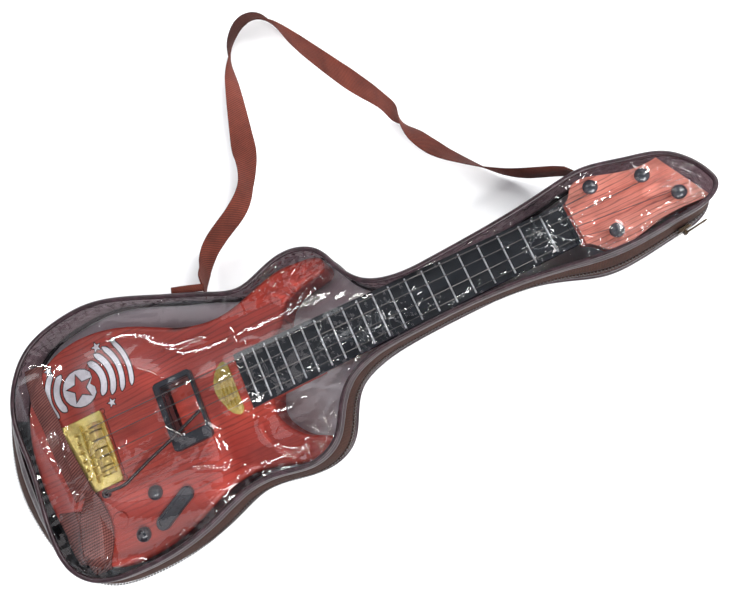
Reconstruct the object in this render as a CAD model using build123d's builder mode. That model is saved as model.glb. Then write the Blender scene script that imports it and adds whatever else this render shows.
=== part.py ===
from build123d import *
import math
import os

# A toy electric guitar lying on its back in its zip bag, with the bag's shoulder strap.
# Millimetres. +X runs along the neck to the headstock, +Y is the bass side, +Z is up.
# The origin is on the resting plane, straight under the middle of the nut.

# ---- driving dimensions ------------------------------------------------------------
FRET_SPAN = 300.0          # nut to the last fret
FRET_COUNT = 20
FRET_RATIO = 1.0346        # each fret space is the one before it divided by this
BODY_BOTTOM = 1.2          # the shells lie on the bag's back sheet
BODY_SPLIT = 20.0          # parting plane of the two shells
BODY_FACE = 40.0           # top face of the body
WALL_SIDE = 3.0
WALL_FACE = 2.4
EDGE_ROUND = 4.0
NECK_DEPTH = 17.0
HEEL_CLEARANCE = 0.1
FINGERBOARD_THICK = 3.4
FINGERBOARD_END = -308.0
NUT_HALF = 18.6            # half the fingerboard's width at the nut
END_HALF = 25.2            # and at its body end
FRET_INSET = 2.2
FRET_HEIGHT = 1.1
FRET_WIDTH = 1.5
NUT_LENGTH = 3.4
NUT_TOP = 45.9
STRING_NUT_Z = 45.6
STRING_SADDLE_Z = 47.5
HEAD_FACE = 38.0
HEAD_COVER = 2.4
HEAD_BOTTOM = 26.0
SHEET = 0.6                # thickness of the bag's vinyl
PIPING = 4.0
BAG_TOP = 53.4
PIPING_FRONT_Z = 45.0
STRAP_WIDTH = 24.0
STRAP_THICK = 1.6
RUN_CLEARANCE = 0.05       # radial, of everything that turns

# ---- outlines ----------------------------------------------------------------------
# Body outline, from the neck's bass side round the lower bout to its treble side.
BODY_POINTS = [
    (-268, 25), (-257, 34), (-249, 46), (-234, 54), (-216, 57), (-204, 61), (-203, 69),
    (-220, 77), (-247, 78), (-278, 70), (-310, 64), (-345, 71), (-385, 91), (-425, 103),
    (-462, 101), (-494, 82), (-511, 48), (-516, 8), (-512, -38), (-499, -77), (-472, -100),
    (-438, -104), (-402, -98), (-368, -84), (-334, -76), (-303, -81), (-276, -88),
    (-257, -85), (-253, -79), (-268, -68), (-283, -56), (-291, -42), (-290, -26),
]
HEAD_POINTS_BASS = [
    (0, 18.6), (8, 22.5), (14, 30), (24, 32.5), (36, 29.5), (52, 24), (68, 20.5), (86, 21),
]
HEAD_POINTS_TREBLE = [
    (109, -27.5), (92, -26.5), (70, -27), (50, -31), (34, -34), (18, -32), (9, -23), (0, -18.6),
]

# Bag outline at the front seam, and how far outwards its gusset stands at half height
# and at the back seam. It runs from the headstock's tip round the bass side.
BAG_POINTS = [
    (115, -18, 2, 1), (107, 2, 2, 1), (90, 19, 3, 1), (62, 28, 3, 1), (28, 36, 2, 1), (-8, 33, 1, 0),
    (-60, 27, 1, 0), (-110, 24, 1, 0), (-150, 24, 1, 0), (-178, 34, 2, 1), (-193, 54, 2, 1),
    (-204, 76, 2, 1), (-226, 86, 2, 1), (-250, 83, 2, 2), (-280, 75, 2, 3), (-312, 86, 2, 3),
    (-345, 100, 2, 2), (-380, 115, 2, 2), (-415, 125, 2, 2), (-450, 124, 3, 3), (-484, 113, 5, 6),
    (-505, 92, 9, 9), (-517, 62, 15, 13), (-519, 28, 22, 16), (-518, -10, 24, 17), (-516, -46, 18, 13),
    (-506, -80, 11, 8), (-486, -102, 7, 4), (-452, -109, 6, 3), (-412, -107, 6, 2), (-372, -97, 6, 2),
    (-338, -86, 5, 2), (-308, -85, 6, 4), (-276, -89, 6, 4), (-252, -79, 7, 5), (-239, -60, 6, 4),
    (-224, -41, 5, 2), (-198, -29, 3, 1), (-160, -25, 2, -1), (-110, -24, 1, -2), (-60, -26, 2, -3),
    (-22, -31, 3, 1), (12, -36, 7, 7), (48, -36.5, 6, 6), (84, -33.5, 4, 4), (108, -28, 2, 2),
]

PEG_PLACES = [(27, 21, 20), (68, 11, 140), (29.5, -21.5, 65), (87, -15, 110)]   # x, y, paddle angle
PEG_ORDER_Y = [15.0, 5.3, -4.6, -13.8]            # the four strings at the nut
SADDLE_Y = [20.5, 7.5, -7.5, -20.5]               # and at the bridge
STRING_RADII = [0.5, 0.42, 0.34, 0.28]
STRING_TO_PEG = [0, 1, 3, 2]                      # which peg each string winds on

BRIDGE = (-484.0, -440.0, 66.5)                   # back edge, front edge, width
BRIDGE_TOP = 42.6
WHAMMY_PIVOT = (-459.0, -38.0)
WHAMMY_RADIUS = 1.5
KNOB_PLACES = [(-417.0, -55.0), (-439.0, -83.5)]
KNOB_RADIUS = 6.5
RING = (-367.8, 0.0, 37.5, 64.0)                  # centre x, y, length, width
RING_TOP = 45.4
RING_HOLE = (-366.4, 3.0, 28.4, 47.0)               # centre x, y, length, width of its opening
CASE_BOSSES = [(-335, 48), (-318, -62), (-405, 72), (-395, -78), (-495, 45), (-492, -50)]
BOSS_RADIUS = 4.0
SCREW_RADIUS = 1.3
SCREW_HEAD = 2.6
SCREW_SEAT = 6.0
NECK_SCREWS = [(-300, 12), (-300, -12)]
KNOB_SHAFT = 2.0
PEG_SHAFT = 3.0
CAP_RADIUS = 6.1
CAP_LOW = 42.2
SADDLE_ROW = [-20.5 + 8.2 * step for step in range(6)]
SADDLE_X = -449.0          # where the strings rest on the saddles
SADDLE_WIDTH = 7.4
STRING_PEG_Z = 39.6
JACK_BUMP = (-455.0, -64.0, 8.0)                  # x, y, radius of the imitation jack
MOULDED_SCREWS = [(-367, 59), (-371, -50)]        # imitation screw heads on the face
SELECTOR = (-404.5, -74.5, 44.0, 12.6, 27.5)      # centre x, y, length, width, angle
PICKUP_BACK = [
    (-316, 19), (-320, 24), (-326, 21), (-332.7, 12), (-335, 2), (-331.5, -12), (-325.5, -22.5),
    (-320.5, -25), (-316, -20),
]
PICKUP_RAILS = [-329.0, -325.5, -322.0, -318.5]   # x of the rails along its top
PICKUP_BARS = [5.0, -10.0]                        # y of the bars across them
PICKUP_RAIL_LENGTH = 34.0
DECAL_POINTS = [
    (-484, 62), (-470, 82), (-440, 86), (-405, 80), (-388, 60), (-400, 40), (-440, 36), (-472, 40),
]
STRAP_BUTTONS = [(-515.0, 14.0, (-1, 0, 0)), (-222.0, 76.5, (0.05, 1, 0))]   # x, y, direction
WHAMMY_Z = 50.2
SLIDER_PLACE = (80.0, -38.3)
ZIP_RUN = (-24.0, -3.5)                           # the way the slider runs when the bag opens
PULL_OUT = 6.4                                    # how far the pull's pin stands off the tape
ZIP_LOW = 12.0
ZIP_HIGH = 37.0
ZIP_MIDDLE = 24.0
ZIP_TEETH = 5.0
ZIP_PLAN = [
    (104, -60), (104, -20), (-160, 0), (-400, 0), (-400, 62), (-600, 62), (-600, -160), (104, -160),
]
STRAP_ROUTE = [
    (-319, 84), (-319, 112), (-306, 134), (-280, 149), (-254, 165), (-239, 190), (-233, 224),
    (-225, 262), (-217, 298), (-205, 332), (-180, 348), (-160, 329), (-147, 296), (-130, 260),
    (-112, 224), (-93, 190), (-84, 160), (-70, 130), (-50, 104), (-26, 82), (0, 66), (20, 50), (24, 28),
]
STRAP_FOOT = 9.0           # height of the strap's ends where they meet the tabs
TAB_SIZE = (24.0, 5.0, 44.0)                      # width along X, lower and upper edge
TAB_PLACES = [(-319.0, 105.0), (24.0, 45.0)]
INNER_STRAP_Z = 48.6
INNER_STRAP_WIDTH = 21.0
INNER_STRAP_ROUTE = [(-492, 84), (-492, 58), (-487, 20), (-478, -22), (-477, -58), (-483, -86)]


def between(a, b, share):
    return a + (b - a) * share


def normals(points):
    """Outward unit normals of a closed list of points that runs anticlockwise from above."""
    found = []
    for i, (x, y) in enumerate(points):
        before = points[i - 1]
        after = points[(i + 1) % len(points)]
        dx, dy = after[0] - before[0], after[1] - before[1]
        length = math.hypot(dx, dy)
        found.append((dy / length, -dx / length))
    return found


def bag_ring(level, grow):
    """The bag's outline at the front (0), half height (1) or back seam (2), grown outwards."""
    base = [(point[0], point[1]) for point in BAG_POINTS]
    stand = [0 if level == 0 else point[1 + level] for point in BAG_POINTS]
    return [
        (x + n[0] * (s + grow), y + n[1] * (s + grow))
        for (x, y), n, s in zip(base, normals(base), stand)
    ]


def fret_x(number):
    """Distance of a fret behind the nut, by the constant ratio of the fret spaces."""
    return -FRET_SPAN * (1 - FRET_RATIO**-number) / (1 - FRET_RATIO**-FRET_COUNT)


def board_half(x):
    return between(NUT_HALF, END_HALF, x / FINGERBOARD_END)


def dome(x, y, low, side, side_height, lean, rise):
    """A round button: a slightly conical side with a spherical top."""
    shoulder = side - lean
    sphere = (shoulder**2 + rise**2) / (2 * rise)
    half_angle = math.asin(shoulder / sphere) / 2
    top = low + side_height + rise
    middle = (sphere * math.sin(half_angle), top - sphere * (1 - math.cos(half_angle)))
    with BuildPart() as button:
        with BuildSketch(Plane(origin=(x, y, 0), x_dir=(1, 0, 0), z_dir=(0, -1, 0))):
            with BuildLine():
                Polyline((0, top), (0, low), (side, low), (shoulder, low + side_height))
                ThreePointArc((shoulder, low + side_height), middle, (0, top))
            make_face()
        revolve(axis=Axis((x, y, 0), (0, 0, 1)))
    return button.part


def finish(part, name):
    part.label = name
    export_step(part, f"parts/{name}.step")


os.makedirs("parts", exist_ok=True)

# ---- the body's two hollow shells --------------------------------------------------
def body_sketch(inset):
    points = [
        (x - n[0] * inset, y - n[1] * inset)
        for (x, y), n in zip(BODY_POINTS, normals(BODY_POINTS))
    ]
    with BuildSketch() as outline:
        with BuildLine():
            Spline(*points)
            Line(points[-1], points[0])
        make_face()
    return outline.sketch


body_outline = body_sketch(0)
body_inside = body_sketch(WALL_SIDE)


def case_shell(low, high, wall_low, wall_high):
    """One hollow half of the body between two heights, open at the parting plane."""
    with BuildPart() as shell:
        with BuildSketch(Plane.XY.offset(low)):
            add(body_outline)
        extrude(amount=high - low)
        outside = shell.faces().sort_by(Axis.Z)[-1 if wall_high else 0]
        fillet(outside.edges().sort_by(SortBy.LENGTH)[-1:], EDGE_ROUND)
        with BuildSketch(Plane.XY.offset(low + wall_low)):
            add(body_inside)
        extrude(amount=high - low - wall_low - wall_high, mode=Mode.SUBTRACT)
        with BuildSketch(Plane.XY.offset(low + wall_low * 0.5)):
            with Locations(*CASE_BOSSES):
                Circle(BOSS_RADIUS)
        extrude(amount=high - low - (wall_low + wall_high) * 0.5)
        # pocket of the neck's heel
        with BuildSketch(Plane.XY.offset(BODY_FACE - NECK_DEPTH - HEEL_CLEARANCE)):
            add(heel_sketch(HEEL_CLEARANCE))
        extrude(amount=NECK_DEPTH + 1, mode=Mode.SUBTRACT)
    return shell.part


def heel_sketch(grow):
    """Plan of the neck's heel where it sits in the body."""
    half_end = board_half(FINGERBOARD_END) - 2 + grow
    half_out = board_half(-200) - 2 + grow
    low = FINGERBOARD_END - grow
    with BuildSketch() as heel:
        with BuildLine():
            Polyline((low, -half_end), (-200, -half_out), (-200, half_out), (low, half_end), close=True)
        make_face()
    return heel.sketch


front_half = case_shell(BODY_SPLIT, BODY_FACE, 0.0, WALL_FACE)
with BuildPart() as body_front_shell:
    add(front_half)
    with BuildSketch(Plane.XY.offset(BODY_SPLIT)):
        with Locations(*CASE_BOSSES):
            Circle(SCREW_RADIUS)
    extrude(amount=12, mode=Mode.SUBTRACT)
    # the sound hole under the open pickup ring
    with BuildSketch(Plane.XY.offset(BODY_FACE - 10)):
        with Locations((RING_HOLE[0], RING_HOLE[1])):
            Rectangle(RING_HOLE[2] + 2, RING_HOLE[3] + 2)
    extrude(amount=20, mode=Mode.SUBTRACT)
    with BuildSketch(Plane.XY.offset(BODY_FACE - 10)):
        with Locations(*KNOB_PLACES):
            Circle(KNOB_SHAFT + RUN_CLEARANCE)
    extrude(amount=20, mode=Mode.SUBTRACT)
    # round bump of the imitation jack, and two moulded screw heads
    with BuildSketch(Plane.XY.offset(BODY_FACE - 0.5)):
        with Locations((JACK_BUMP[0], JACK_BUMP[1])):
            Circle(JACK_BUMP[2])
    extrude(amount=2.0, taper=35)
    with BuildSketch(Plane.XY.offset(BODY_FACE - 0.5)):
        with Locations(*MOULDED_SCREWS):
            Circle(3)
    extrude(amount=1.5, taper=20)
    with BuildSketch(Plane.XY.offset(BODY_FACE + 0.4)):
        with Locations(*MOULDED_SCREWS):
            SlotCenterToCenter(3, 0.8)
            SlotCenterToCenter(3, 0.8, rotation=90)
    extrude(amount=2, mode=Mode.SUBTRACT)
finish(body_front_shell.part, "body_front_shell")

back_half = case_shell(BODY_BOTTOM, BODY_SPLIT, WALL_FACE, 0.0)
with BuildPart() as body_back_shell:
    add(back_half)
    # screw passages and the sunk seats of their heads
    with BuildSketch(Plane.XY.offset(BODY_BOTTOM)):
        with Locations(*CASE_BOSSES):
            Circle(SCREW_RADIUS + 0.3)
    extrude(amount=BODY_SPLIT, mode=Mode.SUBTRACT)
    with BuildSketch(Plane.XY.offset(BODY_BOTTOM)):
        with Locations(*CASE_BOSSES):
            Circle(SCREW_HEAD + 0.3)
    extrude(amount=SCREW_SEAT, mode=Mode.SUBTRACT)
    with BuildSketch(Plane.XY.offset(BODY_BOTTOM)):
        with Locations(*NECK_SCREWS):
            Circle(SCREW_RADIUS + 0.3)
    extrude(amount=BODY_SPLIT + 10, mode=Mode.SUBTRACT)
finish(body_back_shell.part, "body_back_shell")

with BuildPart() as case_screws:
    with BuildSketch(Plane.XY.offset(BODY_BOTTOM + 0.6)):
        with Locations(*CASE_BOSSES):
            Circle(SCREW_HEAD)
    extrude(amount=SCREW_SEAT - 0.6)
    with BuildSketch(Plane.XY.offset(BODY_BOTTOM + SCREW_SEAT)):
        with Locations(*CASE_BOSSES):
            Circle(SCREW_RADIUS - 0.05)
    extrude(amount=BODY_SPLIT + 10 - BODY_BOTTOM - SCREW_SEAT)
    with BuildSketch(Plane.XY.offset(BODY_BOTTOM + 0.6)):
        with Locations(*CASE_BOSSES):
            SlotCenterToCenter(2.4, 0.6)
            SlotCenterToCenter(2.4, 0.6, rotation=90)
    extrude(amount=0.9, mode=Mode.SUBTRACT)
finish(case_screws.part, "case_screws")

# ---- neck, headstock and fingerboard -----------------------------------------------
def neck_section(x, half, depth):
    """Half-oval section of the neck across X, flat side up."""
    shoulder = (half * 0.78, -depth * 0.62)
    with BuildSketch(Plane(origin=(x, 0, BODY_FACE), x_dir=(0, 1, 0), z_dir=(1, 0, 0))) as section:
        with BuildLine():
            Line((-half, 0), (half, 0))
            Spline((half, 0), shoulder, (0, -depth), (-shoulder[0], shoulder[1]), (-half, 0))
        make_face()
    return section.sketch


def head_sketch():
    """Plan of the headstock."""
    with BuildSketch() as head:
        with BuildLine():
            Spline(*HEAD_POINTS_BASS)
            Line(HEAD_POINTS_BASS[-1], HEAD_POINTS_TREBLE[0])
            Spline(*HEAD_POINTS_TREBLE)
            Line(HEAD_POINTS_TREBLE[-1], HEAD_POINTS_BASS[0])
        make_face()
    return head.sketch


def peg_hole_sketch():
    with BuildSketch() as holes:
        with Locations(*[(x, y) for x, y, angle in PEG_PLACES]):
            Circle(PEG_SHAFT + RUN_CLEARANCE)
    return holes.sketch


with BuildPart() as neck:
    add(neck_section(-250, board_half(-250) - 1.2, NECK_DEPTH))
    add(neck_section(-2, NUT_HALF - 1.0, 12.5))
    loft()
    with BuildSketch(Plane.XY.offset(BODY_FACE - NECK_DEPTH)):
        add(heel_sketch(0))
    extrude(amount=NECK_DEPTH)
    with BuildSketch(Plane.XY.offset(BODY_FACE - NECK_DEPTH - 1)):
        with Locations((-220, 0)):
            Rectangle(42, 80)
    extrude(amount=NECK_DEPTH - 10, mode=Mode.SUBTRACT)
    with BuildSketch(Plane.XY.offset(HEAD_BOTTOM)):
        add(head_sketch())
    extrude(amount=HEAD_FACE - HEAD_COVER - HEAD_BOTTOM)
    with BuildSketch(Plane.XY.offset(HEAD_BOTTOM)):
        with Locations((-4, 0)):
            Rectangle(14, 2 * NUT_HALF - 6)
    extrude(amount=HEAD_FACE - HEAD_COVER - HEAD_BOTTOM)
    with BuildSketch(Plane.XY.offset(HEAD_BOTTOM)):
        add(peg_hole_sketch())
    extrude(amount=20, mode=Mode.SUBTRACT)
    with BuildSketch(Plane.XY.offset(0)):
        with Locations(*NECK_SCREWS):
            Circle(SCREW_RADIUS)
    extrude(amount=BODY_FACE - 4, mode=Mode.SUBTRACT)
finish(neck.part, "neck")

with BuildPart() as headstock_cover:
    with BuildSketch(Plane.XY.offset(HEAD_FACE - HEAD_COVER)):
        add(head_sketch())
    extrude(amount=HEAD_COVER)
    with BuildSketch(Plane.XY.offset(HEAD_FACE - HEAD_COVER - 1)):
        with Locations((-6, 0)):
            Rectangle(20, 60)
    extrude(amount=10, mode=Mode.SUBTRACT)
    with BuildSketch(Plane.XY.offset(HEAD_BOTTOM)):
        add(peg_hole_sketch())
    extrude(amount=20, mode=Mode.SUBTRACT)
finish(headstock_cover.part, "headstock_cover")

BOARD_TOP = BODY_FACE + FINGERBOARD_THICK
with BuildPart() as fingerboard:
    with BuildSketch(Plane.XY.offset(BODY_FACE)):
        with BuildLine():
            Polyline(
                (FINGERBOARD_END, -END_HALF),
                (-NUT_LENGTH, -board_half(-NUT_LENGTH)),
                (-NUT_LENGTH, board_half(-NUT_LENGTH)),
                (FINGERBOARD_END, END_HALF),
                close=True,
            )
        make_face()
    extrude(amount=FINGERBOARD_THICK)
    chamfer(fingerboard.faces().sort_by(Axis.Z)[-1].edges(), 0.5)
finish(fingerboard.part, "fingerboard")

with BuildPart() as frets:
    for number in range(1, FRET_COUNT + 1):
        x = fret_x(number)
        half = board_half(x) - FRET_INSET
        bar = Plane(origin=(x, -half, BOARD_TOP), x_dir=(1, 0, 0), z_dir=(0, 1, 0))
        with BuildSketch(bar):
            Ellipse(FRET_WIDTH / 2, FRET_HEIGHT)
            with Locations((0, FRET_HEIGHT)):
                Rectangle(4, 2 * FRET_HEIGHT, mode=Mode.SUBTRACT)
        extrude(amount=2 * half)
finish(frets.part, "frets")

with BuildPart() as nut:
    with BuildSketch(Plane.XY.offset(BODY_FACE)):
        with Locations((-NUT_LENGTH / 2, 0)):
            Rectangle(NUT_LENGTH, 2 * NUT_HALF)
    extrude(amount=NUT_TOP - BODY_FACE)
    for y, radius in zip(PEG_ORDER_Y, STRING_RADII):
        slot = Plane(origin=(-NUT_LENGTH - 1, y, STRING_NUT_Z), x_dir=(0, 1, 0), z_dir=(1, 0, 0))
        with BuildSketch(slot):
            Circle(radius + 0.4)
            with Locations((0, 1)):
                Rectangle(2 * radius + 0.8, 2)
        extrude(amount=NUT_LENGTH + 2, mode=Mode.SUBTRACT)
    chamfer(nut.edges().filter_by(Axis.Y).group_by(Axis.Z)[-1], 0.6)
finish(nut.part, "nut")

with BuildPart() as neck_screws:
    with BuildSketch(Plane.XY.offset(BODY_BOTTOM + 0.1)):
        with Locations(*NECK_SCREWS):
            Circle(SCREW_RADIUS - 0.05)
    extrude(amount=BODY_FACE - 8 - BODY_BOTTOM)
finish(neck_screws.part, "neck_screws")

# ---- strings -----------------------------------------------------------------------
for index in range(4):
    radius = STRING_RADII[index]
    px, py, _ = PEG_PLACES[STRING_TO_PEG[index]]
    side = 1 if PEG_ORDER_Y[index] < py else -1
    anchor = (SADDLE_X - 5, SADDLE_Y[index], BRIDGE_TOP + radius + 0.1)
    saddle = (SADDLE_X, SADDLE_Y[index], STRING_SADDLE_Z + radius)
    at_nut = (-NUT_LENGTH / 2, PEG_ORDER_Y[index], STRING_NUT_Z + 0.1)
    at_peg = (px, py - side * (PEG_SHAFT + radius + 0.15), STRING_PEG_Z)
    with BuildPart() as string:
        for start, end in ((anchor, saddle), (saddle, at_nut), (at_nut, at_peg)):
            run = Vector(*end) - Vector(*start)
            with BuildSketch(Plane(origin=start, z_dir=run)):
                Circle(radius)
            extrude(amount=run.length)
        for corner in (saddle, at_nut):
            with Locations(corner):
                Sphere(radius)
    finish(string.part, f"string_{index + 1}")

# ---- bridge, saddles and whammy bar ------------------------------------------------
back, front, width = BRIDGE
with BuildPart() as bridge_plate:
    with BuildSketch(Plane.XY.offset(BODY_FACE)):
        with Locations(((back + front) / 2, 0)):
            RectangleRounded(front - back, width, 2.5)
    extrude(amount=BRIDGE_TOP - BODY_FACE)
    chamfer(bridge_plate.faces().sort_by(Axis.Z)[-1].edges(), 0.5)
    with BuildSketch(Plane.XY.offset(BODY_FACE)):
        with GridLocations(0, width - 12, 1, 2):
            with Locations((back + 6, 0)):
                Circle(1.5)
    extrude(amount=10, mode=Mode.SUBTRACT)
    # the raised back lip that the saddle screws go through
    with BuildSketch(Plane.XY.offset(BRIDGE_TOP)):
        with Locations((SADDLE_X - 13.5, 0)):
            Rectangle(2.4, 54)
    extrude(amount=3.6)
    with BuildSketch(Plane(origin=(SADDLE_X - 20, 0, BRIDGE_TOP + 1.8), x_dir=(0, 1, 0), z_dir=(1, 0, 0))):
        with Locations(*[(y, 0) for y in SADDLE_ROW]):
            Circle(0.85)
    extrude(amount=15, mode=Mode.SUBTRACT)
finish(bridge_plate.part, "bridge_plate")

with BuildPart() as bridge_saddles:
    for y in SADDLE_ROW:
        side_plane = Plane(origin=(0, y + SADDLE_WIDTH / 2, 0), x_dir=(1, 0, 0), z_dir=(0, -1, 0))
        with BuildSketch(side_plane):
            with BuildLine():
                Polyline(
                    (SADDLE_X - 6, BRIDGE_TOP),
                    (SADDLE_X + 6, BRIDGE_TOP),
                    (SADDLE_X + 6, BRIDGE_TOP + 2.2),
                    (SADDLE_X + 1, STRING_SADDLE_Z - 0.1),
                    (SADDLE_X - 1, STRING_SADDLE_Z - 0.1),
                    (SADDLE_X - 6, BRIDGE_TOP + 3.4),
                    close=True,
                )
            make_face()
        extrude(amount=SADDLE_WIDTH)
    for index in range(4):
        groove_start = (SADDLE_X - 7, SADDLE_Y[index], BRIDGE_TOP + 4)
        with BuildSketch(Plane(origin=groove_start, x_dir=(0, 1, 0), z_dir=(1, 0, 0))):
            Rectangle(2 * STRING_RADII[index] + 0.6, 8.2)
        extrude(amount=7, mode=Mode.SUBTRACT)
finish(bridge_saddles.part, "bridge_saddles")

with BuildPart() as saddle_screws:
    for y in SADDLE_ROW:
        head_plane = Plane(origin=(SADDLE_X - 19.6, y, BRIDGE_TOP + 1.8), x_dir=(0, 1, 0), z_dir=(1, 0, 0))
        with BuildSketch(head_plane):
            Circle(1.6)
        extrude(amount=1.4)
        with BuildSketch(head_plane.offset(0.6)):
            Circle(0.8)
        extrude(amount=12.9)
finish(saddle_screws.part, "saddle_screws")

with BuildPart() as bridge_screws:
    with BuildSketch(Plane.XY.offset(BRIDGE_TOP)):
        with Locations((back + 6, (width - 12) / 2), (back + 6, -(width - 12) / 2)):
            Circle(2.6)
    extrude(amount=1.1, taper=25)
    with BuildSketch(Plane.XY.offset(BODY_FACE + 0.1)):
        with Locations((back + 6, (width - 12) / 2), (back + 6, -(width - 12) / 2)):
            Circle(1.4)
    extrude(amount=BRIDGE_TOP - BODY_FACE)
finish(bridge_screws.part, "bridge_screws")

wx, wy = WHAMMY_PIVOT
with BuildPart() as whammy_socket:
    with BuildSketch(Plane.XY.offset(BODY_FACE)):
        with Locations(WHAMMY_PIVOT):
            Circle(3.6)
            Circle(WHAMMY_RADIUS + RUN_CLEARANCE, mode=Mode.SUBTRACT)
    extrude(amount=4.5)
    chamfer(whammy_socket.faces().sort_by(Axis.Z)[-1].edges().sort_by(SortBy.LENGTH)[-1:], 0.6)
finish(whammy_socket.part, "whammy_socket")

with BuildPart() as whammy_bar:
    with BuildLine() as rod:
        FilletPolyline(
            (wx, wy, BODY_FACE + 0.4),
            (wx, wy, WHAMMY_Z),
            (wx + 22, wy - 1.5, WHAMMY_Z),
            (wx + 50, wy + 9, WHAMMY_Z),
            (wx + 76, wy + 17.5, WHAMMY_Z),
            (wx + 108, wy + 29.5, WHAMMY_Z),
            radius=[4.5, 24, 60, 60],
        )
    with BuildSketch(Plane(origin=rod.line @ 0, z_dir=rod.line % 0)):
        Circle(WHAMMY_RADIUS)
    sweep()
finish(whammy_bar.part, "whammy_bar")

# ---- open pickup ring and neck pickup ----------------------------------------------
with BuildPart() as pickup_ring:
    with BuildSketch(Plane.XY.offset(BODY_FACE)):
        with Locations((RING[0], RING[1])):
            RectangleRounded(RING[2], RING[3], 4)
        with Locations((RING_HOLE[0], RING_HOLE[1])):
            RectangleRounded(RING_HOLE[2], RING_HOLE[3], 2, mode=Mode.SUBTRACT)
    extrude(amount=RING_TOP - BODY_FACE)
    chamfer(pickup_ring.faces().sort_by(Axis.Z)[-1].edges(), 0.8)
    # the collar that lines the sound hole
    with BuildSketch(Plane.XY.offset(BODY_FACE - 9)):
        with Locations((RING_HOLE[0], RING_HOLE[1])):
            Rectangle(RING_HOLE[2] + 1.6, RING_HOLE[3] + 1.6)
            Rectangle(RING_HOLE[2] - 1, RING_HOLE[3] - 1, mode=Mode.SUBTRACT)
    extrude(amount=10)
finish(pickup_ring.part, "pickup_ring")

with BuildPart() as neck_pickup:
    with BuildSketch(Plane.XY.offset(BODY_FACE)):
        with BuildLine():
            Spline(*PICKUP_BACK)
            Line(PICKUP_BACK[-1], PICKUP_BACK[0])
        make_face()
    extrude(amount=2.0)
    with BuildSketch(Plane.XY.offset(BODY_FACE + 2.0)):
        with Locations(*[(x, 0) for x in PICKUP_RAILS]):
            Rectangle(1.8, PICKUP_RAIL_LENGTH)
        with Locations(*[((PICKUP_RAILS[0] + PICKUP_RAILS[-1]) / 2, y) for y in PICKUP_BARS]):
            Rectangle(PICKUP_RAILS[-1] - PICKUP_RAILS[0], 1.4)
    extrude(amount=2.4)
    chamfer(neck_pickup.faces().group_by(Axis.Z)[-1].edges(), 0.5)
finish(neck_pickup.part, "neck_pickup")

# ---- knobs and selector ------------------------------------------------------------
for name, (x, y) in zip(("volume_knob", "tone_knob"), KNOB_PLACES):
    with BuildPart() as knob:
        add(dome(x, y, BODY_FACE + 0.3, KNOB_RADIUS, 2.6, 0.3, 3.4))
        with BuildSketch(Plane.XY.offset(BODY_FACE - WALL_FACE - 1.2)):
            with Locations((x, y)):
                Circle(KNOB_SHAFT)
        extrude(amount=WALL_FACE + 2)
        # the clip's head under the shell
        with BuildSketch(Plane.XY.offset(BODY_FACE - WALL_FACE - 1.7)):
            with Locations((x, y)):
                Circle(KNOB_SHAFT + 1)
        extrude(amount=1.5)
    finish(knob.part, name)

select_x, select_y, select_length, select_width, select_angle = SELECTOR
with BuildPart() as selector_plate:
    with BuildSketch(Plane.XY.offset(BODY_FACE)):
        with Locations((select_x, select_y)):
            SlotOverall(select_length, select_width, rotation=select_angle)
    extrude(amount=4.2)
    chamfer(selector_plate.faces().sort_by(Axis.Z)[-1].edges(), 0.9)
    with BuildSketch(Plane.XY.offset(BODY_FACE + 3.0)):
        with Locations((select_x, select_y)):
            SlotOverall(select_length - 6.5, select_width - 5.6, rotation=select_angle)
    extrude(amount=3, mode=Mode.SUBTRACT)
finish(selector_plate.part, "selector_plate")

# ---- tuning pegs: a red key below, a shaft through the head, a black cap on top ------
for index, (x, y, angle) in enumerate(PEG_PLACES):
    with BuildPart() as peg:
        with BuildSketch(Plane.XY.offset(HEAD_BOTTOM - 3)):
            with Locations((x, y)):
                Circle(5.5)
        extrude(amount=2.7)
        with BuildSketch(Plane.XY.offset(HEAD_BOTTOM - 3)):
            with Locations((x, y)):
                Circle(PEG_SHAFT)
        extrude(amount=CAP_LOW + 1.5 - HEAD_BOTTOM + 3)
        with BuildSketch(Plane.XY.offset(HEAD_BOTTOM - 17)):
            with Locations((x, y)):
                SlotOverall(25, 5, rotation=angle)
        extrude(amount=14.2)
    finish(peg.part, f"tuning_peg_{index + 1}")
    with BuildPart() as cap:
        add(dome(x, y, CAP_LOW, CAP_RADIUS, 1.5, -0.1, 2.6))
        with BuildSketch(Plane.XY.offset(CAP_LOW - 1)):
            with Locations((x, y)):
                Circle(PEG_SHAFT)
        extrude(amount=2.5, mode=Mode.SUBTRACT)
    finish(cap.part, f"peg_cap_{index + 1}")

# ---- decal, strap buttons, inner strap ---------------------------------------------
with BuildPart() as decal:
    with BuildSketch(Plane.XY.offset(BODY_FACE)):
        with BuildLine():
            Spline(*DECAL_POINTS, periodic=True)
        make_face()
    extrude(amount=0.15)
finish(decal.part, "decal")

with BuildPart() as strap_buttons:
    for x, y, direction in STRAP_BUTTONS:
        button_plane = Plane(origin=(x, y, 24), z_dir=direction)
        with BuildSketch(button_plane):
            Circle(2.6)
        extrude(amount=4.5)
        with BuildSketch(button_plane.offset(3.4)):
            Circle(4.6)
        extrude(amount=1.4)
    add(front_half, mode=Mode.SUBTRACT)
    add(back_half, mode=Mode.SUBTRACT)
finish(strap_buttons.part, "strap_buttons")

with BuildPart() as guitar_strap:
    with BuildSketch(Plane.XY.offset(INNER_STRAP_Z)):
        with BuildLine():
            FilletPolyline(*INNER_STRAP_ROUTE, radius=[60, 60, 60, 30])
        trace(line_width=INNER_STRAP_WIDTH)
    extrude(amount=STRAP_THICK)
finish(guitar_strap.part, "guitar_strap")

# ---- the bag -----------------------------------------------------------------------


def ring_face(points):
    with BuildSketch() as face:
        with BuildLine():
            Spline(*points, periodic=True)
        make_face()
    return face.sketch


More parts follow.
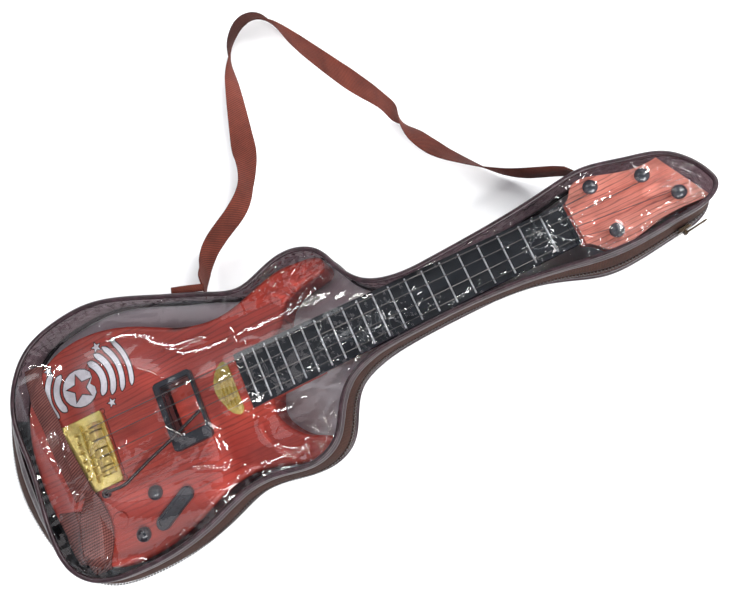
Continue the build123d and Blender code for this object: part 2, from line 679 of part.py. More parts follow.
def band(level, low, high, outer, inner):
    """A closed strip that follows one of the bag's three outlines."""
    with BuildPart() as strip:
        with BuildSketch(Plane.XY.offset(low)):
            add(ring_face(bag_ring(level, outer)))
            add(ring_face(bag_ring(level, inner)), mode=Mode.SUBTRACT)
        extrude(amount=high - low)
    return strip.part


def bag_wall(grow):
    """The space inside the gusset, standing out at half height, between the two pipings."""
    with BuildPart() as wall:
        for height, level, inset in ((PIPING, 2, 0), (24.0, 1, 0), (PIPING_FRONT_Z, 0, 0)):
            with BuildSketch(Plane.XY.offset(height)):
                add(ring_face(bag_ring(level, grow - inset)))
        loft()
    return wall.part


finish(band(0, PIPING_FRONT_Z, PIPING_FRONT_Z + PIPING, 2.0, -2.0), "bag_piping_front")
finish(band(2, 0.0, PIPING, 2.0, -2.0), "bag_piping_back")

with BuildPart() as bag_back_sheet:
    with BuildSketch():
        add(ring_face(bag_ring(2, -2.05)))
    extrude(amount=SHEET)
finish(bag_back_sheet.part, "bag_back_sheet")

with BuildPart() as bag_front_sheet:
    with BuildSketch(Plane.XY.offset(PIPING_FRONT_Z + PIPING)):
        add(ring_face(bag_ring(0, 1.6)))
    extrude(amount=BAG_TOP - PIPING_FRONT_Z - PIPING)
    with BuildSketch(Plane.XY.offset(PIPING_FRONT_Z + PIPING)):
        add(ring_face(bag_ring(0, 1.6 - SHEET)))
    extrude(amount=BAG_TOP - PIPING_FRONT_Z - PIPING - SHEET, mode=Mode.SUBTRACT)
finish(bag_front_sheet.part, "bag_front_sheet")

with BuildPart() as bag_gusset:
    add(bag_wall(0.0))
    add(bag_wall(-0.8), mode=Mode.SUBTRACT)
finish(bag_gusset.part, "bag_gusset")

# ---- zip: woven tapes, coil teeth, slider and its pull -------------------------------
def wall_strip(low, high, inner, outer, plan):
    """A strip that lies on the gusset between two heights, cut to a plan outline."""
    with BuildPart() as strip:
        add(bag_wall(outer))
        add(bag_wall(inner), mode=Mode.SUBTRACT)
        with BuildSketch(Plane.XY.offset(low)):
            with BuildLine():
                Polyline(*plan, close=True)
            make_face()
        extrude(amount=high - low, mode=Mode.INTERSECT)
    return strip.part


finish(wall_strip(ZIP_LOW, ZIP_HIGH, 0.02, 0.7, ZIP_PLAN), "zip_tape")
teeth_low, teeth_high = ZIP_MIDDLE - ZIP_TEETH / 2, ZIP_MIDDLE + ZIP_TEETH / 2
finish(wall_strip(teeth_low, teeth_high, 0.72, 2.0, ZIP_PLAN), "zip_teeth")

run = Vector(*ZIP_RUN).normalized()
outward = Vector(-run.Y, run.X, 0)

slider_plane = Plane(origin=(*SLIDER_PLACE, ZIP_MIDDLE), x_dir=run, z_dir=outward)
with BuildPart() as zip_slider:
    with BuildSketch(slider_plane.offset(3.2)):
        RectangleRounded(13, 11, 2)
    extrude(amount=1.3)
    with BuildSketch(slider_plane.offset(1.7)):
        with Locations((0, 4.9), (0, -4.9)):
            Rectangle(9, 1.0)
    extrude(amount=1.6)
    with BuildSketch(slider_plane.offset(4.4)):
        with Locations((0, 2.6), (0, -2.6)):
            Rectangle(2.6, 1.0)
    extrude(amount=3.0)
    with BuildSketch(Plane.XY.offset(ZIP_MIDDLE - 3.1)):
        with Locations(slider_plane.from_local_coords((0, 0, PULL_OUT))):
            Circle(0.7)
    extrude(amount=6.2)
finish(zip_slider.part, "zip_slider")

with BuildPart() as zip_pull:
    with BuildSketch(slider_plane.offset(PULL_OUT - 0.7)):
        with Locations((-10.5, 0)):
            RectangleRounded(19, 3.8, 1.2)
        with Locations((-16.5, 0)):
            SlotOverall(4.5, 1.8, mode=Mode.SUBTRACT)
    extrude(amount=1.4)
    with BuildSketch(Plane.XY.offset(ZIP_MIDDLE - 1.9)):
        with Locations(slider_plane.from_local_coords((0, 0, PULL_OUT))):
            Circle(1.7)
    extrude(amount=3.8)
    with BuildSketch(Plane.XY.offset(ZIP_MIDDLE - 5)):
        with Locations(slider_plane.from_local_coords((0, 0, PULL_OUT))):
            Circle(0.7 + RUN_CLEARANCE)
    extrude(amount=10, mode=Mode.SUBTRACT)
finish(zip_pull.part, "zip_pull")
print("pull hinge at", slider_plane.from_local_coords((0, 0, PULL_OUT)), "slide along", run)

# ---- shoulder strap ------------------------------------------------------------------
tab_width, tab_low, tab_high = TAB_SIZE
with BuildPart() as strap_tabs:
    for x, y in TAB_PLACES:
        left, right = x - tab_width / 2, x + tab_width / 2
        tab_plan = [(left, y - 40), (right, y - 40), (right, y + 40), (left, y + 40)]
        add(wall_strip(tab_low, tab_high, 0.75, 2.2, tab_plan))
finish(strap_tabs.part, "strap_tabs")

turns = []
for before, at, after in zip(STRAP_ROUTE, STRAP_ROUTE[1:], STRAP_ROUTE[2:]):
    arriving = Vector(*at) - Vector(*before)
    leaving = Vector(*after) - Vector(*at)
    turn = math.radians(arriving.get_angle(leaving))
    turns.append(0.45 * min(arriving.length, leaving.length) / math.tan(turn / 2))
print("strap radii", [round(r) for r in turns])

with BuildSketch() as strap_plan:
    with BuildLine() as strap_line:
        FilletPolyline(*STRAP_ROUTE, radius=turns)
    trace(line_width=STRAP_WIDTH)
    add(ring_face(bag_ring(2, 3.2)), mode=Mode.SUBTRACT)
with BuildSketch() as strap_foot:
    add(strap_plan.sketch)
    add(ring_face(bag_ring(2, 6.0)), mode=Mode.INTERSECT)
with BuildPart() as shoulder_strap:
    add(strap_plan.sketch)
    extrude(amount=STRAP_THICK)
    add(strap_foot.sketch)
    extrude(amount=STRAP_FOOT)
finish(shoulder_strap.part, "shoulder_strap")
print("strap line", round(strap_line.wires()[0].length))
print("strap volume over section", round(shoulder_strap.part.volume / STRAP_WIDTH / STRAP_THICK))
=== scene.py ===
import math

import bmesh
import bpy
import numpy as np
from mathutils import Matrix, Vector
from mathutils.bvhtree import BVHTree


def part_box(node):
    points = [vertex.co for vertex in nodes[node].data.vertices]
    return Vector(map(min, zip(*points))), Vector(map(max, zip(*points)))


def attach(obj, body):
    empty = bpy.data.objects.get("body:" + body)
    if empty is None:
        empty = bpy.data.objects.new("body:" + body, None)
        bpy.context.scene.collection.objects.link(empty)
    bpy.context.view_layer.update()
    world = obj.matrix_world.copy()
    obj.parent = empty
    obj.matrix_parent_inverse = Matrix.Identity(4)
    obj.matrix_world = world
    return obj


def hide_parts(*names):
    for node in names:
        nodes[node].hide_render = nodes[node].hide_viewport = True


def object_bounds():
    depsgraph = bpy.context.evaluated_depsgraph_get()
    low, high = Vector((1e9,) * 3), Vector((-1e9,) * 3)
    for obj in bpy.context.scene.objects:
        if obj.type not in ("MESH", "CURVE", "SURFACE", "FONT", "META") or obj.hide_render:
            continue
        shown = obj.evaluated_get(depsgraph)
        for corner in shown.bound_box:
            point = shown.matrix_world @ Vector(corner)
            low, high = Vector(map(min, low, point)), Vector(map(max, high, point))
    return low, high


# A toy electric guitar in its clear zip bag, lying on a pale floor with the bag's strap
# thrown out behind it. Metres, in the CAD frame: +X to the headstock, +Y the bass side.

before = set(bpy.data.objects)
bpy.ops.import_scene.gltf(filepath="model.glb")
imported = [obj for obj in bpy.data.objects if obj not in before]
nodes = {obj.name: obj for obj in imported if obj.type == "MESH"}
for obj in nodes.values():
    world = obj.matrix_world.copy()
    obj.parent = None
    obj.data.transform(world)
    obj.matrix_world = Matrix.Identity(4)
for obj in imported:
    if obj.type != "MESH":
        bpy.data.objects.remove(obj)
cad_low, cad_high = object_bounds()
scene = bpy.context.scene
MM = 0.001
ABOVE_ALL = 100 * MM
GUITAR = "guitar"


def add_object(name, data):
    made = bpy.data.objects.new(name, data)
    scene.collection.objects.link(made)
    return made


# ---- camera and lights ----
def point_at(thing, place, target, up=(0, 0, 1)):
    """Stands a camera or light at a place, looking at the target."""
    back = (Vector(place) - Vector(target)).normalized()
    right = Vector(up).cross(back).normalized()
    turn = Matrix((right, back.cross(right), back)).transposed()
    thing.matrix_world = Matrix.Translation(place) @ turn.to_4x4()


CAMERA_PLACE = (-0.1068, -0.1545, 0.6991)
CAMERA_TARGET = (-0.1747, 0.0140, 0.043)
CAMERA_UP = (0.4322, 0.8832, 0.1821)
CAMERA_LENS = 38.4
LIT_PLACE = (-0.2, 0.05, 0.0)
# Area lights: name, place, size and watts.
PANELS = [
    ("window", (0.55, -1.55, 1.5), (1.2, 0.8), 52),
    ("back_panel", (-0.8, 2.2, 1.1), (2.2, 0.9), 10),
    ("right_panel", (1.55, 1.25, 1.45), (1.2, 0.7), 30),
    ("front_tube", (-0.6, -1.25, 1.55), (0.8, 0.07), 14),
    ("right_tube", (1.25, 0.35, 1.5), (0.06, 0.9), 16),
    ("ceiling_tube", (-0.6, 1.25, 1.9), (0.9, 0.05), 8),
]
# Small ceiling lamps, whose mirror images are the film's dots of light.
LAMP_PLACES = [
    (0.35, 0.95), (-1.0, 1.2), (0.75, 0.15), (-0.45, -0.6), (-0.15, 1.35), (-1.75, 0.55), (1.1, 0.7),
]
LAMP_HEIGHT = 1.95
LAMP_SIZE = (0.05, 0.05)
LAMP_POWER = 1.2


def make_camera():
    data = bpy.data.cameras.new("camera")
    data.lens = CAMERA_LENS
    data.sensor_width = 36.0
    data.clip_start = 0.01
    data.clip_end = 20
    camera = add_object("camera", data)
    point_at(camera, CAMERA_PLACE, CAMERA_TARGET, CAMERA_UP)
    scene.camera = camera


def soft_light(name, place, size, power, colour=(1, 1, 1)):
    data = bpy.data.lights.new(name, "AREA")
    data.shape = "RECTANGLE"
    data.size, data.size_y = size
    data.energy = power
    data.color = colour
    point_at(add_object(name, data), place, LIT_PLACE)


def make_lights():
    for panel in PANELS:
        soft_light(*panel)
    soft_light("dim_ceiling", (-1.35, -0.1, 2.0), (0.8, 1.5), 4.5, (1.0, 0.93, 0.96))
    for number, (x, y) in enumerate(LAMP_PLACES):
        soft_light(f"ceiling_lamp_{number}", (x, y, LAMP_HEIGHT), LAMP_SIZE, LAMP_POWER)
    world = bpy.data.worlds.new("world")
    world.use_nodes = True
    tree = world.node_tree
    direction = tree.nodes.new("ShaderNodeTexCoord")
    parts = tree.nodes.new("ShaderNodeSeparateXYZ")
    ceiling = tree.nodes.new("ShaderNodeValToRGB")
    tree.links.new(direction.outputs["Generated"], parts.inputs[0])
    tree.links.new(parts.outputs["Z"], ceiling.inputs["Fac"])
    tree.links.new(ceiling.outputs["Color"], tree.nodes["Background"].inputs["Color"])
    elements = ceiling.color_ramp.elements
    elements[0].position, elements[0].color = 0.35, (0.95, 1.0, 1.08, 1)
    elements[1].position, elements[1].color = 0.84, (0.06, 0.066, 0.078, 1)
    scene.world = world
    scene.view_settings.view_transform = "Standard"


# ---- shader building ----
SADDLE_PITCH = 0.0082
WAVE_TURN = math.tau / 20           # a wave texture's scale for bands one metre apart


def rgb(red, green, blue):
    """A colour from 0-255 screen values to the linear ones that shaders use."""
    values = [c / 255 for c in (red, green, blue)]
    linear = [c / 12.92 if c < 0.04045 else ((c + 0.055) / 1.055) ** 2.4 for c in values]
    return (*linear, 1.0)


class Shader:
    """A material and short ways to add nodes to it."""

    def __init__(self, name):
        self.material = bpy.data.materials.new(name)
        self.material.use_nodes = True
        self.tree = self.material.node_tree
        self.surface = self.tree.nodes["Principled BSDF"]
        self.output = self.tree.nodes["Material Output"]

    def put(self, socket, value):
        if isinstance(value, bpy.types.NodeSocket):
            self.tree.links.new(value, socket)
        else:
            socket.default_value = value

    def add(self, kind, inputs=None, **settings):
        made = self.tree.nodes.new("ShaderNode" + kind)
        for key, value in settings.items():
            setattr(made, key, value)
        for key, value in (inputs or {}).items():
            self.put(made.inputs[key], value)
        return made

    def set(self, **inputs):
        for key, value in inputs.items():
            self.put(self.surface.inputs[key.replace("_", " ")], value)

    def math(self, operation, *values):
        made = self.add("Math", operation=operation)
        for socket, value in zip(made.inputs, values):
            self.put(socket, value)
        return made.outputs[0]

    def times(self, a, b):
        return self.math("MULTIPLY", a, b)

    def place(self, scale=(1, 1, 1), shift=(0, 0, 0), turn=0.0, uv=False):
        """Stretched coordinates of the object, in metres, or of its UV map."""
        coordinates = self.add("TexCoord").outputs["UV" if uv else "Object"]
        inputs = {"Vector": coordinates, "Scale": scale, "Location": shift, "Rotation": (0, 0, turn)}
        return self.add("Mapping", inputs).outputs[0]

    def noise(self, vector, scale, detail, roughness=0.5, distortion=0.0):
        inputs = {
            "Vector": vector, "Scale": scale, "Detail": detail,
            "Roughness": roughness, "Distortion": distortion,
        }
        return self.add("TexNoise", inputs).outputs["Fac"]

    def wave(self, vector, scale, distortion, detail, detail_scale, direction="Y"):
        inputs = {
            "Vector": vector, "Scale": scale, "Distortion": distortion,
            "Detail": detail, "Detail Scale": detail_scale,
        }
        return self.add("TexWave", inputs, bands_direction=direction).outputs["Fac"]

    def ramp(self, factor, *stops):
        made = self.add("ValToRGB", {"Fac": factor})
        elements = made.color_ramp.elements
        while len(elements) < len(stops):
            elements.new(0.5)
        for element, (position, colour) in zip(elements, stops):
            element.position = position
            element.color = colour if len(colour) == 4 else (*colour, 1)
        return made.outputs["Color"]

    def grey(self, factor, low, high, start=0.0, end=1.0):
        """A factor spread from low to high between two places on its own scale."""
        inputs = {"Value": factor, "From Min": start, "From Max": end, "To Min": low, "To Max": high}
        return self.add("MapRange", inputs).outputs["Result"]

    def mix(self, factor, a, b, blend="MIX"):
        made = self.add("Mix", data_type="RGBA", blend_type=blend)
        self.put(made.inputs["Factor"], factor)
        self.put(made.inputs[6], a)
        self.put(made.inputs[7], b)
        return made.outputs[2]

    def shaded(self, colour, value):
        """A colour made brighter or darker by a factor."""
        return self.add("HueSaturation", {"Color": colour, "Value": value}).outputs[0]

    def bump(self, height, distance, strength, after=None):
        inputs = {"Height": height, "Distance": distance, "Strength": strength}
        if after is not None:
            inputs["Normal"] = after
        return self.add("Bump", inputs).outputs["Normal"]

    def spot(self, x, y, reach_x, reach_y, turn=0.0):
        """1 inside an oval about a point on the object's top, 0 outside it."""
        coordinates = self.add("TexCoord").outputs["Object"]
        moved = self.add("VectorMath", {0: coordinates, 1: (x, y, 0)}, operation="SUBTRACT").outputs[0]
        inputs = {"Vector": moved, "Rotation": (0, 0, turn), "Scale": (1 / reach_x, 1 / reach_y, 0)}
        length = self.add("VectorMath", {0: self.add("Mapping", inputs).outputs[0]}, operation="LENGTH")
        return self.grey(length.outputs["Value"], 1.0, 0.0, 0.7, 1.0)


def printed_wood(name, tones, streak_gap, contrast, thinness=0.8):
    """Moulded plastic with a printed wood grain that runs along X, in a light, a middle and a dark tone."""
    s = Shader(name)
    light, middle, dark = (rgb(*tone) for tone in tones)
    stretched = s.place(scale=(0.17, 1, 0.35))
    thin = s.wave(stretched, WAVE_TURN / streak_gap, 8.0, 4.0, 1.1)
    finer = s.wave(stretched, WAVE_TURN / (streak_gap * 0.43), 6.0, 3.0, 2.0)
    pores = s.noise(s.place(scale=(16, 700, 240)), 1.0, 2.0, 0.6)
    tone = s.noise(s.place(scale=(5, 60, 30)), 1.0, 3.0, 0.55, 0.6)
    presence = s.noise(s.place(scale=(12, 38, 20)), 1.0, 2.0, 0.5)
    colour = s.ramp(tone, (0.35, middle), (0.65, light))
    lines = s.times(s.grey(thin, 0.0, 1.0, thinness, 1.0), s.grey(presence, 0.25, 1.0, 0.35, 0.6))
    faint = s.times(s.grey(finer, 0.0, 0.35, 0.7, 1.0), s.grey(presence, 1.0, 0.2, 0.4, 0.65))
    specks = s.grey(pores, 0.0, 0.35, 0.60, 0.75)
    share = s.times(s.math("MAXIMUM", lines, s.math("MAXIMUM", faint, specks)), contrast)
    colour = s.mix(share, colour, dark)
    fine = s.noise(s.place(), 900.0, 2.0)
    bumps = s.bump(s.math("ADD", s.times(lines, -0.5), s.times(fine, 0.4)), 0.0001, 0.4)
    s.set(
        Base_Color=colour, Roughness=s.grey(fine, 0.36, 0.5), Normal=bumps,
        Coat_Weight=0.15, Coat_Roughness=0.25,
    )
    return s, colour


def body_wood():
    """The body's print, with painted shade for the bevel of its forearm cut."""
    tones = ((184, 66, 50), (166, 53, 41), (70, 20, 16))
    s, colour = printed_wood("red_wood_grain_plastic", tones, 0.0046, 0.5, 0.74)
    # painted shade: a dark streaky patch where the forearm bevel would fall into shade
    painted_bevel_shade = s.spot(-0.333, 0.0725, 0.026, 0.0065, math.radians(-18))
    rough_streaks = s.noise(s.place(scale=(160, 420, 300)), 1.0, 4.0, 0.7)
    patch = s.times(painted_bevel_shade, s.grey(rough_streaks, 0.55, 1.0, 0.35, 0.6))
    colour = s.mix(patch, colour, rgb(52, 20, 16))
    s.set(Base_Color=colour)
    return s.material


def moulded(name, colour, roughness, coat=0.0):
    """Moulded plastic with a fine grain, faint flow marks and rubbed spots."""
    s = Shader(name)
    grain = s.noise(s.place(), 1400.0, 2.0, 0.6)
    flow = s.noise(s.place(scale=(40, 90, 60)), 1.0, 3.0, 0.6, 0.5)
    varied = s.shaded(colour, s.grey(flow, 0.82, 1.2, 0.3, 0.7))
    s.set(
        Base_Color=varied, Roughness=s.grey(flow, roughness * 0.85, roughness * 1.2, 0.3, 0.7),
        Normal=s.bump(grain, 0.00006, 0.6), Coat_Weight=coat, Coat_Roughness=0.12,
    )
    return s.material


def plated_shader(name, colour, roughness, ripple_height, metallic):
    """Thin metal plating, with ripples of the moulding under it and small scratches."""
    s = Shader(name)
    ripples = s.noise(s.place(), 260.0, 3.0, 0.6, 0.4)
    scratches = s.noise(s.place(scale=(300, 2600, 900), turn=0.4), 1.0, 1.0)
    shaded = (*(c * 0.72 for c in colour[:3]), 1)
    tint = s.mix(s.grey(ripples, 0.0, 1.0, 0.35, 0.65), colour, shaded)
    height = s.math("ADD", ripples, s.times(scratches, 0.12))
    s.set(
        Base_Color=tint, Metallic=metallic, Normal=s.bump(height, ripple_height, 0.8),
        Roughness=s.grey(scratches, roughness * 0.8, roughness * 1.5, 0.3, 0.7),
    )
    return s, tint


def plated(name, colour, roughness, ripple_height=0.00008, metallic=1.0):
    return plated_shader(name, colour, roughness, ripple_height, metallic)[0].material


def saddle_gold():
    """Gold plating, with painted shade in the gaps between the six saddles."""
    s, tint = plated_shader("saddle_plating", rgb(255, 230, 140), 0.14, 0.00030, 0.6)
    across = s.add("SeparateXYZ", {0: s.place()}).outputs[1]
    # painted shade: darker colour in the gaps between the saddles
    painted_gap_shade = s.math("ABSOLUTE", s.math("SINE", s.times(across, math.pi / SADDLE_PITCH)))
    s.set(Base_Color=s.mix(s.grey(painted_gap_shade, 1.0, 0.0, 0.12, 0.4), tint, rgb(84, 58, 26)))
    return s.material


def string_wire(name):
    """Thin grey wire, with the turns of its winding."""
    s = Shader(name)
    turns = s.wave(s.place(), WAVE_TURN / 0.0011, 0.4, 0.0, 1.0, "X")
    s.set(
        Base_Color=s.ramp(turns, (0.0, rgb(62, 58, 58)), (1.0, rgb(120, 116, 114))),
        Metallic=0.35, Roughness=0.42, Normal=s.bump(turns, 0.0001, 0.6),
    )
    return s.material


def clear_film(
    name, tint, haze, gloss_boost=1.35, wrinkle=0.00007, cloud=rgb(225, 226, 230), crumpled=(), most=0.9
):
    """Thin clear vinyl: it lets light straight through and mirrors at its two faces, at most this much."""
    s = Shader(name)
    crinkle = s.noise(s.place(), 110.0, 3.0, 0.6, 0.8)
    fine = s.noise(s.place(), 700.0, 2.0, 0.5)
    normal = s.bump(s.math("ADD", crinkle, s.times(fine, 0.05)), wrinkle, 0.8)
    for centre_x, centre_y, reach_x, reach_y, share in crumpled:
        folded = s.noise(s.place(shift=(centre_x * 3, 0, 0)), 52.0, 1.0, 0.4, 0.8)
        away = s.math("ABSOLUTE", s.math("SUBTRACT", folded, 0.5))
        where = s.spot(centre_x, centre_y, reach_x * 1.4, reach_y)
        ridge = s.times(s.grey(away, 1.0, 0.0, 0.0, 0.035), where)
        normal = s.bump(ridge, 0.0005 * share, 1.0, after=normal)
    smudges = s.noise(s.place(scale=(22, 30, 20)), 1.0, 4.0, 0.6)
    gloss = s.add("BsdfGlossy", {
        "Color": (1, 1, 1, 1), "Normal": normal,
        "Roughness": s.grey(smudges, 0.035, 0.07, 0.35, 0.7),
    })
    through = s.add("BsdfTransparent", {"Color": tint})
    milk = s.add("BsdfDiffuse", {"Color": cloud, "Normal": normal})
    cloud_share = s.grey(smudges, 0.0, haze, 0.4, 0.75)
    base = s.add("MixShader", {0: cloud_share, 1: through.outputs[0], 2: milk.outputs[0]})
    mirror = s.add("Fresnel", {"IOR": 1.46, "Normal": normal}).outputs[0]
    share = s.math("MINIMUM", s.times(mirror, gloss_boost), most)
    full = s.add("MixShader", {0: share, 1: base.outputs[0], 2: gloss.outputs[0]})
    s.put(s.output.inputs["Surface"], full.outputs[0])
    s.tree.nodes.remove(s.surface)
    return s.material


def smoky_vinyl():
    """The bag's back sheet: grey, slightly see-through, soft sheen, with painted shade towards the headstock
    and beside the neck, and a painted red bounce light at the left end.
    """
    s = Shader("smoky_vinyl")
    clouds = s.noise(s.place(scale=(9, 13, 10)), 1.0, 3.0, 0.55)
    fine = s.noise(s.place(), 500.0, 2.0)
    colour = s.ramp(clouds, (0.25, rgb(222, 222, 229)), (0.75, rgb(248, 248, 252)))
    along = s.add("SeparateXYZ", {0: s.place()}).outputs[0]
    # painted shade: the sheet darkens towards the headstock end
    colour = s.mix(s.grey(along, 0.0, 0.75, -0.09, 0.02), colour, rgb(96, 92, 96))
    colour = s.mix(s.grey(along, 0.0, 0.7, 0.03, 0.06), colour, rgb(200, 190, 194))
    # painted bounce light: a red glow at the left end, as if lit from the red body
    colour = s.mix(s.grey(along, 0.8, 0.0, -0.53, -0.49), colour, rgb(236, 170, 160))
    # painted shade: a darker spot beside the neck
    painted_shade_spot = s.spot(-0.2300, 0.0780, 0.045, 0.030)
    colour = s.mix(s.times(painted_shade_spot, 0.6), colour, rgb(150, 146, 148))
    s.set(
        Base_Color=colour, Roughness=0.38, Alpha=0.93,
        Normal=s.bump(s.math("ADD", clouds, s.times(fine, 0.1)), 0.0006, 0.5),
    )
    return s.material


def piping_vinyl():
    """Glossy plum vinyl wrapped round a cord, with the faint dents of its stitches."""
    s = Shader("plum_piping")
    along = s.wave(s.place(uv=True), WAVE_TURN / 0.0032, 0.6, 1.0, 1.0, "X")
    wear = s.noise(s.place(), 170.0, 3.0, 0.6)
    colour = s.ramp(wear, (0.3, rgb(22, 10, 13)), (0.55, rgb(38, 20, 26)), (0.8, rgb(62, 40, 48)))
    height = s.math("ADD", s.times(along, 0.4), wear)
    s.set(Base_Color=colour, Roughness=s.grey(wear, 0.24, 0.42), Normal=s.bump(height, 0.0003, 0.5))
    s.set(Specular_IOR_Level=0.3, Coat_Weight=0.12, Coat_Roughness=0.1)
    return s.material


def woven(name, warp, weft, pitch, slant, sheen=0.15, glint=0.3, painted_shades=()):
    """Woven tape: slanting rows of yarns along its UV map, whose u and v are in metres."""
    s = Shader(name)
    uv = s.place(uv=True)
    split = s.add("SeparateXYZ", {0: uv})
    u, v = split.outputs[0], split.outputs[1]
    slanted = s.math("ADD", s.times(u, 1 / pitch), s.times(v, slant / pitch))
    rows = s.math("ABSOLUTE", s.math("SINE", s.times(slanted, math.pi)))
    threads = s.math("ABSOLUTE", s.math("SINE", s.times(v, math.pi / (pitch * 0.62))))
    yarn = s.times(s.math("POWER", rows, 0.6), s.math("ADD", s.times(threads, 0.45), 0.55))
    fuzz = s.noise(s.place(), 1500.0, 2.0, 0.7)
    dirt = s.noise(s.place(), 45.0, 3.0, 0.6)
    colour = s.ramp(yarn, (0.2, weft), (0.85, warp))
    colour = s.shaded(colour, s.grey(dirt, 0.7, 1.2, 0.3, 0.7))
    # painted shade: darkens the colour and damps the sheen and glint along u
    if painted_shades:
        stops = [(share, (grey, grey, grey)) for share, grey in painted_shades]
        wear_and_painted_shade = s.ramp(s.grey(u, 0.0, 1.0, 0.0, 0.68), *stops)
        colour = s.mix(1.0, colour, wear_and_painted_shade, "MULTIPLY")
        sheen, glint = (s.times(wear_and_painted_shade, level) for level in (sheen, glint))
    height = s.math("ADD", yarn, s.times(fuzz, 0.35))
    s.set(
        Base_Color=colour, Roughness=0.72, Normal=s.bump(height, 0.00035, 0.9),
        Sheen_Weight=sheen, Sheen_Roughness=0.4, Sheen_Tint=warp, Specular_IOR_Level=glint,
    )
    return s.material


def printed_film(name, colour):
    """Flat ink on the sticker, with a paper-fine tooth."""
    s = Shader(name)
    tooth = s.noise(s.place(), 1200.0, 2.0)
    wear_and_painted_shade = s.noise(s.place(), 260.0, 3.0, 0.65)
    varied = s.shaded(colour, s.grey(wear_and_painted_shade, 0.86, 1.05, 0.3, 0.7))
    s.set(Base_Color=varied, Roughness=0.4, Normal=s.bump(tooth, 0.00003, 0.4))
    return s.material


def floor_paper():
    s = Shader("floor")
    tooth = s.noise(s.place(), 300.0, 2.0)
    s.set(Base_Color=rgb(250, 250, 250), Roughness=0.8, Normal=s.bump(tooth, 0.0001, 0.2))
    return s.material


# ---- mesh building ----
def piece_of(name, points, faces, material, uvs=None):
    """A new piece of the object that rides with the guitar."""
    mesh = bpy.data.meshes.new(name)
    mesh.from_pydata([tuple(p) for p in points], [], [tuple(f) for f in faces])
    if uvs is not None:
        corner_points = np.zeros(len(mesh.loops), int)
        mesh.loops.foreach_get("vertex_index", corner_points)
        layer = mesh.uv_layers.new(name="UVMap")
        layer.data.foreach_set("uv", np.asarray(uvs, np.float32)[corner_points].ravel())
    mesh.polygons.foreach_set("use_smooth", [True] * len(mesh.polygons))
    return place_piece(name, mesh, material)


def place_piece(name, mesh, material):
    """Puts a finished mesh in the scene as a piece that rides with the guitar."""
    mesh.materials.append(material)
    piece = add_object(name, mesh)
    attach(piece, GUITAR)
    return piece


def lengths_along(line):
    """The distance along a line of points, from its first point to each."""
    return np.concatenate([[0], np.cumsum(np.linalg.norm(np.diff(line, axis=0), axis=1))])


def points_at(line, at):
    """The points that lie at given distances along a line."""
    along = lengths_along(line)
    return np.stack([np.interp(at, along, values) for values in line.T], axis=1)


def directions(line):
    ahead = np.gradient(line, axis=0)
    return ahead / np.linalg.norm(ahead, axis=1)[:, None]


def lattice(rows, columns, closed_rows=False, closed_columns=False):
    """Faces of a grid of points given row by row."""
    faces = []
    for i in range(rows if closed_rows else rows - 1):
        for j in range(columns if closed_columns else columns - 1):
            a, b = i * columns, ((i + 1) % rows) * columns
            k = (j + 1) % columns
            faces.append((a + j, b + j, b + k, a + k))
    return faces


def tube(centres, sides, ups, half_width, half_height, corners, closed=False, power=1.0):
    """Points, faces and UVs of a tube whose section is an oval, or a rounded bar for power < 1."""
    angles = [math.tau * k / corners for k in range(corners)]
    points, uvs = [], []
    for centre, side, up, u in zip(centres, sides, ups, lengths_along(centres)):
        for angle in angles:
            across = math.copysign(abs(math.cos(angle)) ** power, math.cos(angle)) * half_width
            rise = math.copysign(abs(math.sin(angle)) ** power, math.sin(angle)) * half_height
            points.append(centre + side * across + up * rise)
            uvs.append((u, across))
    faces = lattice(len(centres), corners, closed, True)
    if not closed:
        faces.append(tuple(range(corners))[::-1])
        faces.append(tuple(range(len(points) - corners, len(points))))
    return np.array(points), faces, uvs


def surface_tree(names):
    """One search tree of several CAD nodes."""
    points, faces = [], []
    for name in names:
        start = len(points)
        points += [v.co.copy() for v in nodes[name].data.vertices]
        faces += [tuple(start + i for i in p.vertices) for p in nodes[name].data.polygons]
    return BVHTree.FromPolygons(points, faces)


def outlines_at(name, height):
    """Closed outlines, each a run of points, where a CAD node crosses a height."""
    cut = bmesh.new()
    cut.from_mesh(nodes[name].data)
    bmesh.ops.remove_doubles(cut, verts=cut.verts, dist=1e-6)
    geometry = cut.verts[:] + cut.edges[:] + cut.faces[:]
    result = bmesh.ops.bisect_plane(cut, geom=geometry, plane_co=(0, 0, height), plane_no=(0, 0, 1))
    joined = {}
    for edge in result["geom_cut"]:
        if isinstance(edge, bmesh.types.BMEdge):
            a, b = edge.verts
            joined.setdefault(a, []).append(b)
            joined.setdefault(b, []).append(a)
    found = []
    while joined:
        start = next(iter(joined))
        run, here = [start], start
        while True:
            onward = [v for v in joined.pop(here, []) if v in joined]
            if not onward:
                break
            here = onward[0]
            run.append(here)
        found.append(np.array([v.co[:2] for v in run]))
    cut.free()
    return found


def height_at(tree, x, y):
    """How high a search tree's surface is over a point, or None where there is none."""
    hit = tree.ray_cast(Vector((x, y, ABOVE_ALL)), Vector((0, 0, -1)))
    return None if hit[0] is None else hit[0].z


def area_of(loop):
    x, y = loop[:, 0], loop[:, 1]
    return float(np.sum(x * np.roll(y, -1) - y * np.roll(x, -1)) / 2)


def even_ring(loop, count):
    """A closed outline again, anticlockwise from its furthest +X point, with even steps."""
    if area_of(loop) < 0:
        loop = loop[::-1]
    loop = np.roll(loop, -int(loop[:, 0].argmax()), axis=0)
    closed = np.vstack([loop, loop[:1]])
    return points_at(closed, np.linspace(0, lengths_along(closed)[-1], count, endpoint=False))


def smooth_ring(values, passes):
    for _ in range(passes):
        values = (np.roll(values, 1, axis=0) + 2 * values + np.roll(values, -1, axis=0)) / 4
    return values


def smooth_line(values, passes):
    """Eases a run of values in place, and keeps its two ends."""
    for _ in range(passes):
        values[1:-1] = (values[:-2] + 2 * values[1:-1] + values[2:]) / 4


def along_ring(points):
    steps = np.linalg.norm(np.roll(points, -1, axis=0) - points, axis=1)
    return np.concatenate([[0], np.cumsum(steps)[:-1]])


